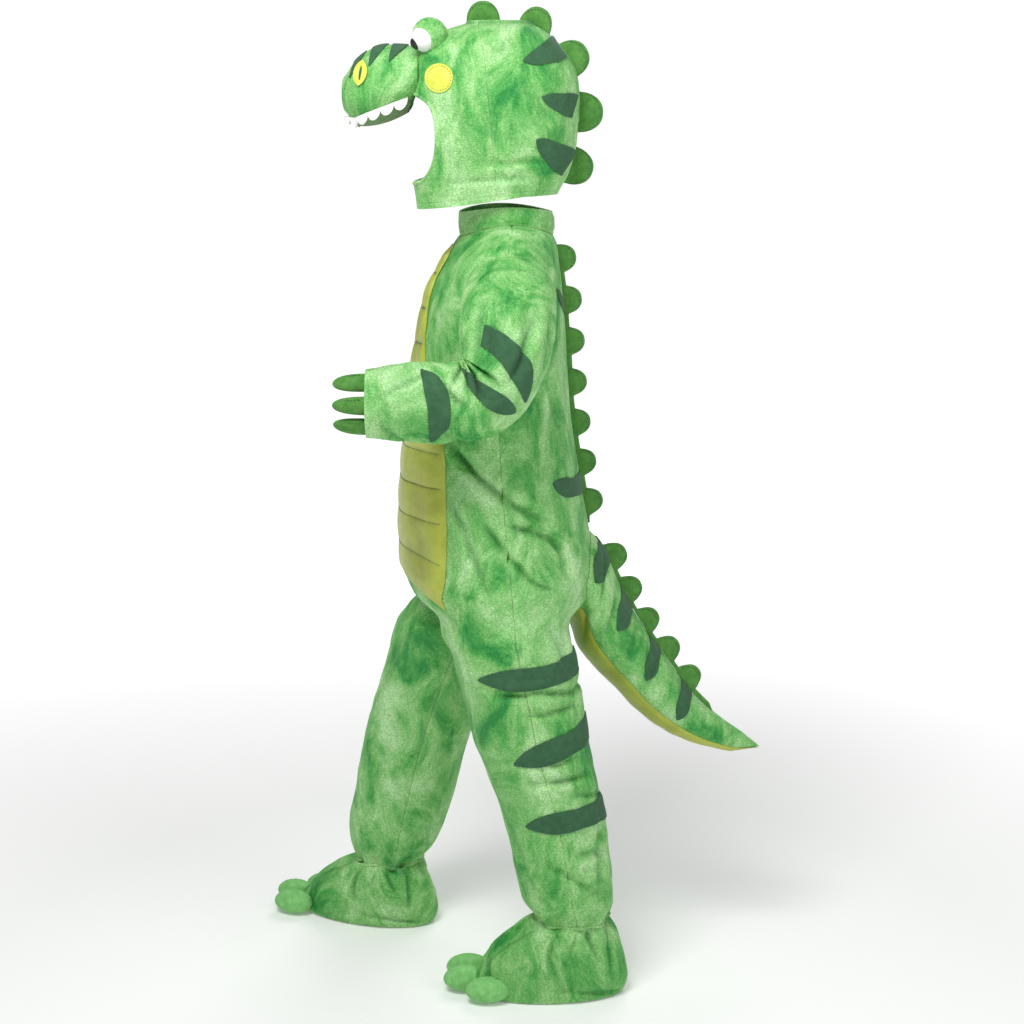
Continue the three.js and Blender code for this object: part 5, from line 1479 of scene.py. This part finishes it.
    def hood(self) -> None:
        """The hood's four plush parts, its bound edges and its appliques."""
        shop = self.shop
        shell = self.hood_solid("shell", 0, 930)
        hollow = self.hood_solid("hollow", -PLUSH, 900)
        below = shop.prism("below", [*HEM_LINE, (150, 972), (150, 880), (-200, 880), (-200, 951)], -150, 150)
        opening = [(p.x, p.y) for p in smooth_curve([Vector((y, z, 0)) for y, z in FACE_EDGE], 60)]
        ahead = shop.prism("ahead", [*opening, (-200, 1086), (-200, 983)], -150, 150)
        shop.combine(shell, "DIFFERENCE", hollow, below, ahead)
        front = [*[(y - SEAM / 2, z) for y, z in HOOD_SEAM], (-300, 940), (-300, 1200)]
        back = [*[(y + SEAM / 2, z) for y, z in HOOD_SEAM], (300, 940), (300, 1200)]
        spans = {Side.LEFT: (SEAM / 2, 150), Side.RIGHT: (-150, -SEAM / 2)}
        for side, (x1, x2) in spans.items():
            for word, outline in (("face", front), ("hood", back)):
                keep = shop.prism("keep", outline, x1, x2)
                obj = shop.new_object(f"{word}_part_{side.word}", self.copy_of(shell))
                shop.combine(obj, "INTERSECT", keep)
                shop.discard(keep)
                shop.finish(obj, Finish.PLUSH, [f"{word}_{side.word}"], TO_HEAD)
                shop.sheet(obj, HOOD_CUTS[word], "stretched", ["stand_collar"])
            self.hood_details(side)
        shop.discard(shell, hollow, below, ahead)

    def copy_of(self, obj: bpy.types.Object) -> bmesh.types.BMesh:
        """A bmesh with an object's faces."""
        bm = bmesh.new()
        bm.from_mesh(obj.data)
        return bm

    def tube(self, name: str, points: list[Vector], radius: float, look: Finish, matrix: Matrix) -> None:
        """A thin round binding along a line."""
        rings = []
        for i, place in enumerate(points):
            along = (points[min(i + 1, len(points) - 1)] - points[max(i - 1, 0)]).normalized()
            turn = along.to_track_quat("Z", "Y").to_matrix()
            angles = [k * math.pi / 5 for k in range(10)]
            rings.append([place + turn @ Vector((math.cos(t), math.sin(t), 0)) * radius for t in angles])
        self.shop.finish(self.shop.loft(name, rings), look, (), matrix, 80)

    def hood_details(self, side: Side) -> None:
        """Bindings, stitches, cheek and stripes of one side of the hood."""
        host = HOODS[side]

        def beside(places: Iterable[tuple[float, float]], lift: float) -> list[Vector]:
            return [host.place(y, z) + Vector((side.value * lift, 0, 0)) for y, z in places]
        edge = smooth_curve([Vector((y, z, 0)) for y, z in FACE_EDGE], 90)
        binding = beside([(p.x, p.y) for p in edge], -1.5)
        self.tube(f"face_binding_{side.word}", binding, 2.3, Finish.PLUSH, TO_HEAD)
        self.pale_thread.along(beside([(p.x + 6, p.y) for p in edge[6:-6]], 0.3), TO_HEAD)
        hem = smooth_curve([Vector((y, z + 8, 0)) for y, z in [(-98, 954), *HEM_LINE[2:4], (60, 971)]], 80)
        self.pale_thread.along(beside([(p.x, p.y) for p in hem], 0.3), TO_HEAD)
        for number, stripe in enumerate(HOOD_STRIPES, 1):
            self.patch(f"stripe_hood_{side.word}_{number}", stripe.on(host), host.core, Finish.STRIPE, None,
                       TO_HEAD, f"hood_part_{side.word}", (30, 14))

        def cheek(u: float, v: float) -> Vector:
            angle, share = 2 * math.pi * u, max(v, 0.02)
            return host.place(CHEEK[0] + CHEEK_RADIUS * share * math.cos(angle),
                              CHEEK[1] + CHEEK_RADIUS * share * math.sin(angle))
        obj, _ = self.shop.wall(f"cheek_patch_{side.word}", cheek, host.core, (48, 8), thick=FLEECE,
                                lift=SEAM, closed=True)
        self.shop.finish(obj, Finish.CHEEK, [f"cheek_{side.word}"], TO_HEAD)
        size = 2 * CHEEK_RADIUS * MM
        self.shop.sheet(obj, Flat(size, size, 0.78 * size * size), "laid", [f"face_part_{side.word}"])
        turns = np.linspace(0, 2 * math.pi, 41).tolist()
        ring = [(CHEEK[0] + 13.6 * math.cos(t), CHEEK[1] + 13.6 * math.sin(t)) for t in turns]
        self.thread.along(beside(ring, 1.7), TO_HEAD)

    def snout(self, hood_core: bpy.types.Object) -> None:
        """The stuffed snout with its mouth, teeth, nostrils and stripes."""
        shop, face = self.shop, SNOUT_FACE
        around = 80

        def solid(name: str, grow: float) -> bpy.types.Object:
            rings = [[face.place(i / around, y, grow) for i in range(around)]
                     for y in np.linspace(-98, -184, 60).tolist()]
            last = rings[-1]
            tip = Vector((0, SNOUT_TIP[0] - grow, SNOUT_TIP[1]))
            for share in (0.35, 0.62, 0.82, 0.94):
                shrink = math.sqrt(1 - share ** 2)
                rings.append([Vector((p.x * shrink, mix(p.y, tip.y, share), mix(tip.z, p.z, shrink)))
                              for p in last])
            return shop.loft(name, [*rings, [tip]])
        obj = solid("stuffed_snout", 0)
        shop.combine(obj, "DIFFERENCE", hood_core)
        shop.finish(obj, Finish.PLUSH, ["snout"], TO_HEAD)
        rear, front = -108.0, -170.0

        def mouth(u: float, v: float) -> Vector:
            y = mix(rear, front, v)
            row = SNOUT.at(y)
            x = face.half_at(y, lip_height(y)) * (2 * u - 1) * 0.96
            drop = (1 - (abs(x) / row.half) ** SNOUT_ROUND) ** (1 / SNOUT_ROUND)
            middle, high = span(row.bottom, row.top)
            return Vector((x, y, middle - high * drop - 0.7))
        obj, flat = shop.wall("mouth_underside", mouth, face.core, (40, 30), thick=FLEECE, lift=0.5)
        shop.combine(obj, "DIFFERENCE", hood_core)
        shop.finish(obj, Finish.OLIVE, ["mouth"], TO_HEAD)
        shop.sheet(obj, flat, "stretched", ["stuffed_snout"])
        self.teeth(hood_core)
        for side in Side:
            self.nostril(side)
        for number, stripe in enumerate(SNOUT_STRIPES, 1):
            self.patch(f"stripe_snout_{number}", stripe.on(face), face.core, Finish.STRIPE, None, TO_HEAD,
                       "stuffed_snout")

    def teeth(self, hood_core: bpy.types.Object) -> None:
        """White felt teeth in one zigzag strip that hangs from the lip seam."""
        stations = (-110, -120, -130, -140, -150, -159, -166, -171)
        side = [Vector((SNOUT_FACE.half_at(y, lip_height(y)) + 2.4, y, lip_height(y))) for y in stations]
        loop = [*side, Vector(NOSE_FRONT) + Vector((0, -4.5, -1))]
        loop += [Vector((-p.x, p.y, p.z)) for p in reversed(loop)]
        cells = TEETH * 16
        lip = smooth_curve(loop, cells + 1)

        def place(u: float, v: float) -> Vector:
            scallop = math.sin(math.pi * (u * TEETH % 1)) ** 0.55
            point = lip[round(u * cells)].copy()
            small = mix(0.25, 1, smooth(abs(u - 0.5) / 0.14))
            point.z += 1.5 - v * (3.4 + 0.8 * TOOTH_HEIGHT * scallop) * small
            return point
        obj, flat = self.shop.wall("teeth_strip", place, lambda p: Vector((0, -130, 1070)), (cells, 8),
                                   thick=1.5, lift=SEAM)
        self.shop.combine(obj, "DIFFERENCE", hood_core)
        self.shop.finish(obj, Finish.WHITE, ["teeth"], TO_HEAD)
        self.shop.sheet(obj, flat, "hung", ["stuffed_snout"])

    def nostril(self, side: Side) -> None:
        """A yellow leaf-shaped nostril with a dark slit."""
        def on_snout(across: float, up: float, lift: float) -> Vector:
            y, z = NOSTRIL[0] + across, NOSTRIL[1] + up
            return Vector((side.value * (SNOUT_FACE.half_at(y, z) + lift), y, z))

        def leaf(u: float, v: float) -> Vector:
            angle, share = 2 * math.pi * u, max(v, 0.02)
            across = 8 * math.cos(angle) * abs(math.cos(angle)) ** 0.5 + 2 * math.sin(angle)
            return on_snout(share * across, 14 * share * math.sin(angle), 0.6)

        def slit_place(u: float, v: float) -> Vector:
            angle, share = 2 * math.pi * u, max(v, 0.02)
            return on_snout(1.3 * share * math.cos(angle) + 1.2 * v * math.sin(angle),
                            8 * share * math.sin(angle), 2.2)
        obj, _ = self.shop.wall(f"nostril_leaf_{side.word}", leaf, SNOUT_FACE.core, (40, 6), thick=1.3,
                                lift=SEAM, closed=True)
        self.shop.finish(obj, Finish.CHEEK, [f"nostril_{side.word}"], TO_HEAD)
        self.shop.sheet(obj, NOSTRIL_CUT, "laid", ["stuffed_snout"])
        slit, _ = self.shop.wall(f"nostril_slit_{side.word}", slit_place, SNOUT_FACE.core, (24, 4), thick=0.6,
                                 lift=SEAM, closed=True)
        self.shop.finish(slit, Finish.STRIPE, (), TO_HEAD)

    def eyes(self, hood_core: bpy.types.Object) -> None:
        """Two domed lids over white eyeballs with black pupils."""
        def ball(name: str, place: Vector, radii: tuple[float, float, float]) -> bpy.types.Object:
            bm = bmesh.new()
            bmesh.ops.create_uvsphere(bm, u_segments=48, v_segments=32, radius=1.0)
            matrix = Matrix.Translation(place) @ Matrix.Diagonal((*radii, 1))
            bmesh.ops.transform(bm, matrix=matrix, verts=bm.verts)
            return self.shop.new_object(name, bm)
        for side in Side:
            centre = Vector((side.value * EYE.x, EYE.y, EYE.z))
            look = Vector((side.value * EYE_LOOK[0], *EYE_LOOK[1:])).normalized()
            eye = centre + look * EYE.white_ahead
            grown = ball("grown", eye, (EYE.white + SEAM,) * 3)
            lid = ball(f"eye_lid_{side.word}", centre, EYE.lid)
            self.shop.combine(lid, "DIFFERENCE", hood_core, grown)
            self.shop.finish(lid, Finish.PLUSH, [f"lid_{side.word}"], TO_HEAD)
            white = ball(f"eye_ball_{side.word}", eye, (EYE.white,) * 3)
            self.shop.combine(white, "DIFFERENCE", hood_core)
            self.shop.finish(white, Finish.WHITE, [f"ball_{side.word}"], TO_HEAD)
            pupil = ball(f"eye_pupil_{side.word}", eye + look * EYE.pupil_ahead, (EYE.pupil,) * 3)
            self.shop.combine(pupil, "DIFFERENCE", hood_core, grown)
            self.shop.finish(pupil, Finish.BLACK, [f"pupil_{side.word}"], TO_HEAD)
            self.shop.discard(grown)


@dataclass(frozen=True)
class Lamp:
    """A square soft light that shines at the middle of the costume."""

    name: str
    place: tuple[float, float, float]
    size: float
    power: float


LAMPS = (Lamp("key", (1.0, -0.55, 1.15), 0.7, 27), Lamp("fill", (1.5, 1.4, 0.3), 1.0, 9),
         Lamp("rim", (-1.8, 0.8, 1.6), 1.5, 22))
LAMP_AIM = Vector((0, 0, -0.3))
SKY_SEEN = 0.74
SKY_LIGHT = 0.28
FLOOR_SIZE = 14
FLOOR_GAP = 0.0005
FLOOR_GLOW = [(0.0, "#e6e6e6"), (0.55, "#666666")]
CAMERA = SimpleNamespace(azimuth=84, distance=2.4, height=1.07, pitch=11.35, lens=70.9, sensor=36)
CAMERA_YAW = math.atan(-8 / 2017)


class Studio:
    """A pale seamless backdrop, soft lights and the camera."""

    def __init__(self) -> None:
        self.level = -NECK_HEIGHT * MM

    def build(self) -> None:
        """Makes the stage, the lights and the camera."""
        self.backdrop()
        self.lights()
        self.camera()

    def backdrop(self) -> None:
        """A wide white floor."""
        bm = bmesh.new()
        bmesh.ops.create_grid(bm, x_segments=1, y_segments=1, size=FLOOR_SIZE)
        bmesh.ops.translate(bm, verts=bm.verts, vec=(0, 0, self.level + FLOOR * MM - FLOOR_GAP))
        mesh = bpy.data.meshes.new("floor")
        bm.to_mesh(mesh)
        bm.free()
        paper = Shader("white_paper", Base_Color=colour("#f4f5f4"), Roughness=0.9, Emission_Strength=1.0)
        near = paper.add("Mapping", Vector=paper.place, Scale=(0.4, 0.4, 0.4)).outputs["Vector"]
        ball = paper.add("TexGradient", {"gradient_type": "SPHERICAL"}, Vector=near).outputs["Fac"]
        paper.link(paper.ramp(ball, FLOOR_GLOW), "Emission Color")
        mesh.materials.append(paper.material)
        obj = link_object("floor", mesh)

    def lights(self) -> None:
        """A large soft key, a fill, a rim and an even white world."""
        for lamp in LAMPS:
            data = bpy.data.lights.new(lamp.name, "AREA")
            data.size = lamp.size
            data.energy = lamp.power
            obj = link_object(lamp.name, data)
            obj.location = lamp.place
            obj.rotation_euler = (LAMP_AIM - obj.location).to_track_quat("-Z", "Y").to_euler()
        world = bpy.data.worlds.new("studio")
        world.use_nodes = True
        world.node_tree.nodes["Background"].inputs["Color"].default_value = (1, 1, 1, 1)
        sky = world.node_tree.nodes["Background"].inputs["Strength"]
        seen = world.node_tree.nodes.new("ShaderNodeLightPath").outputs["Is Camera Ray"]
        level = world.node_tree.nodes.new("ShaderNodeMath")
        level.operation = "MULTIPLY_ADD"
        level.inputs[1].default_value = SKY_SEEN
        level.inputs[2].default_value = SKY_LIGHT
        world.node_tree.links.new(seen, level.inputs[0])
        world.node_tree.links.new(level.outputs[0], sky)
        bpy.context.scene.world = world
        bpy.context.scene.view_settings.view_transform = "Standard"

    def camera(self) -> None:
        """The camera, from the wearer's left and a little ahead, looking slightly down."""
        azimuth, pitch = math.radians(CAMERA.azimuth), math.radians(CAMERA.pitch)
        data = bpy.data.cameras.new("camera")
        data.sensor_width = CAMERA.sensor
        data.lens = CAMERA.lens
        obj = link_object("camera", data)
        obj.location = (CAMERA.distance * math.sin(azimuth), -CAMERA.distance * math.cos(azimuth),
                        CAMERA.height + self.level)
        ahead = Vector((-math.sin(azimuth), math.cos(azimuth), 0))
        ahead.rotate(Matrix.Rotation(CAMERA_YAW, 3, "Z"))
        look = ahead * math.cos(pitch) - Vector((0, 0, math.sin(pitch)))
        obj.rotation_euler = look.to_track_quat("-Z", "Y").to_euler()
        bpy.context.scene.camera = obj


def main() -> None:
    """Builds the costume and its studio."""
    logging.basicConfig(level=logging.INFO, format="%(message)s")
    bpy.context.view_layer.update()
    Costume().build()
    Studio().build()
    bpy.context.view_layer.update()


if __name__ == "__main__":
    main()
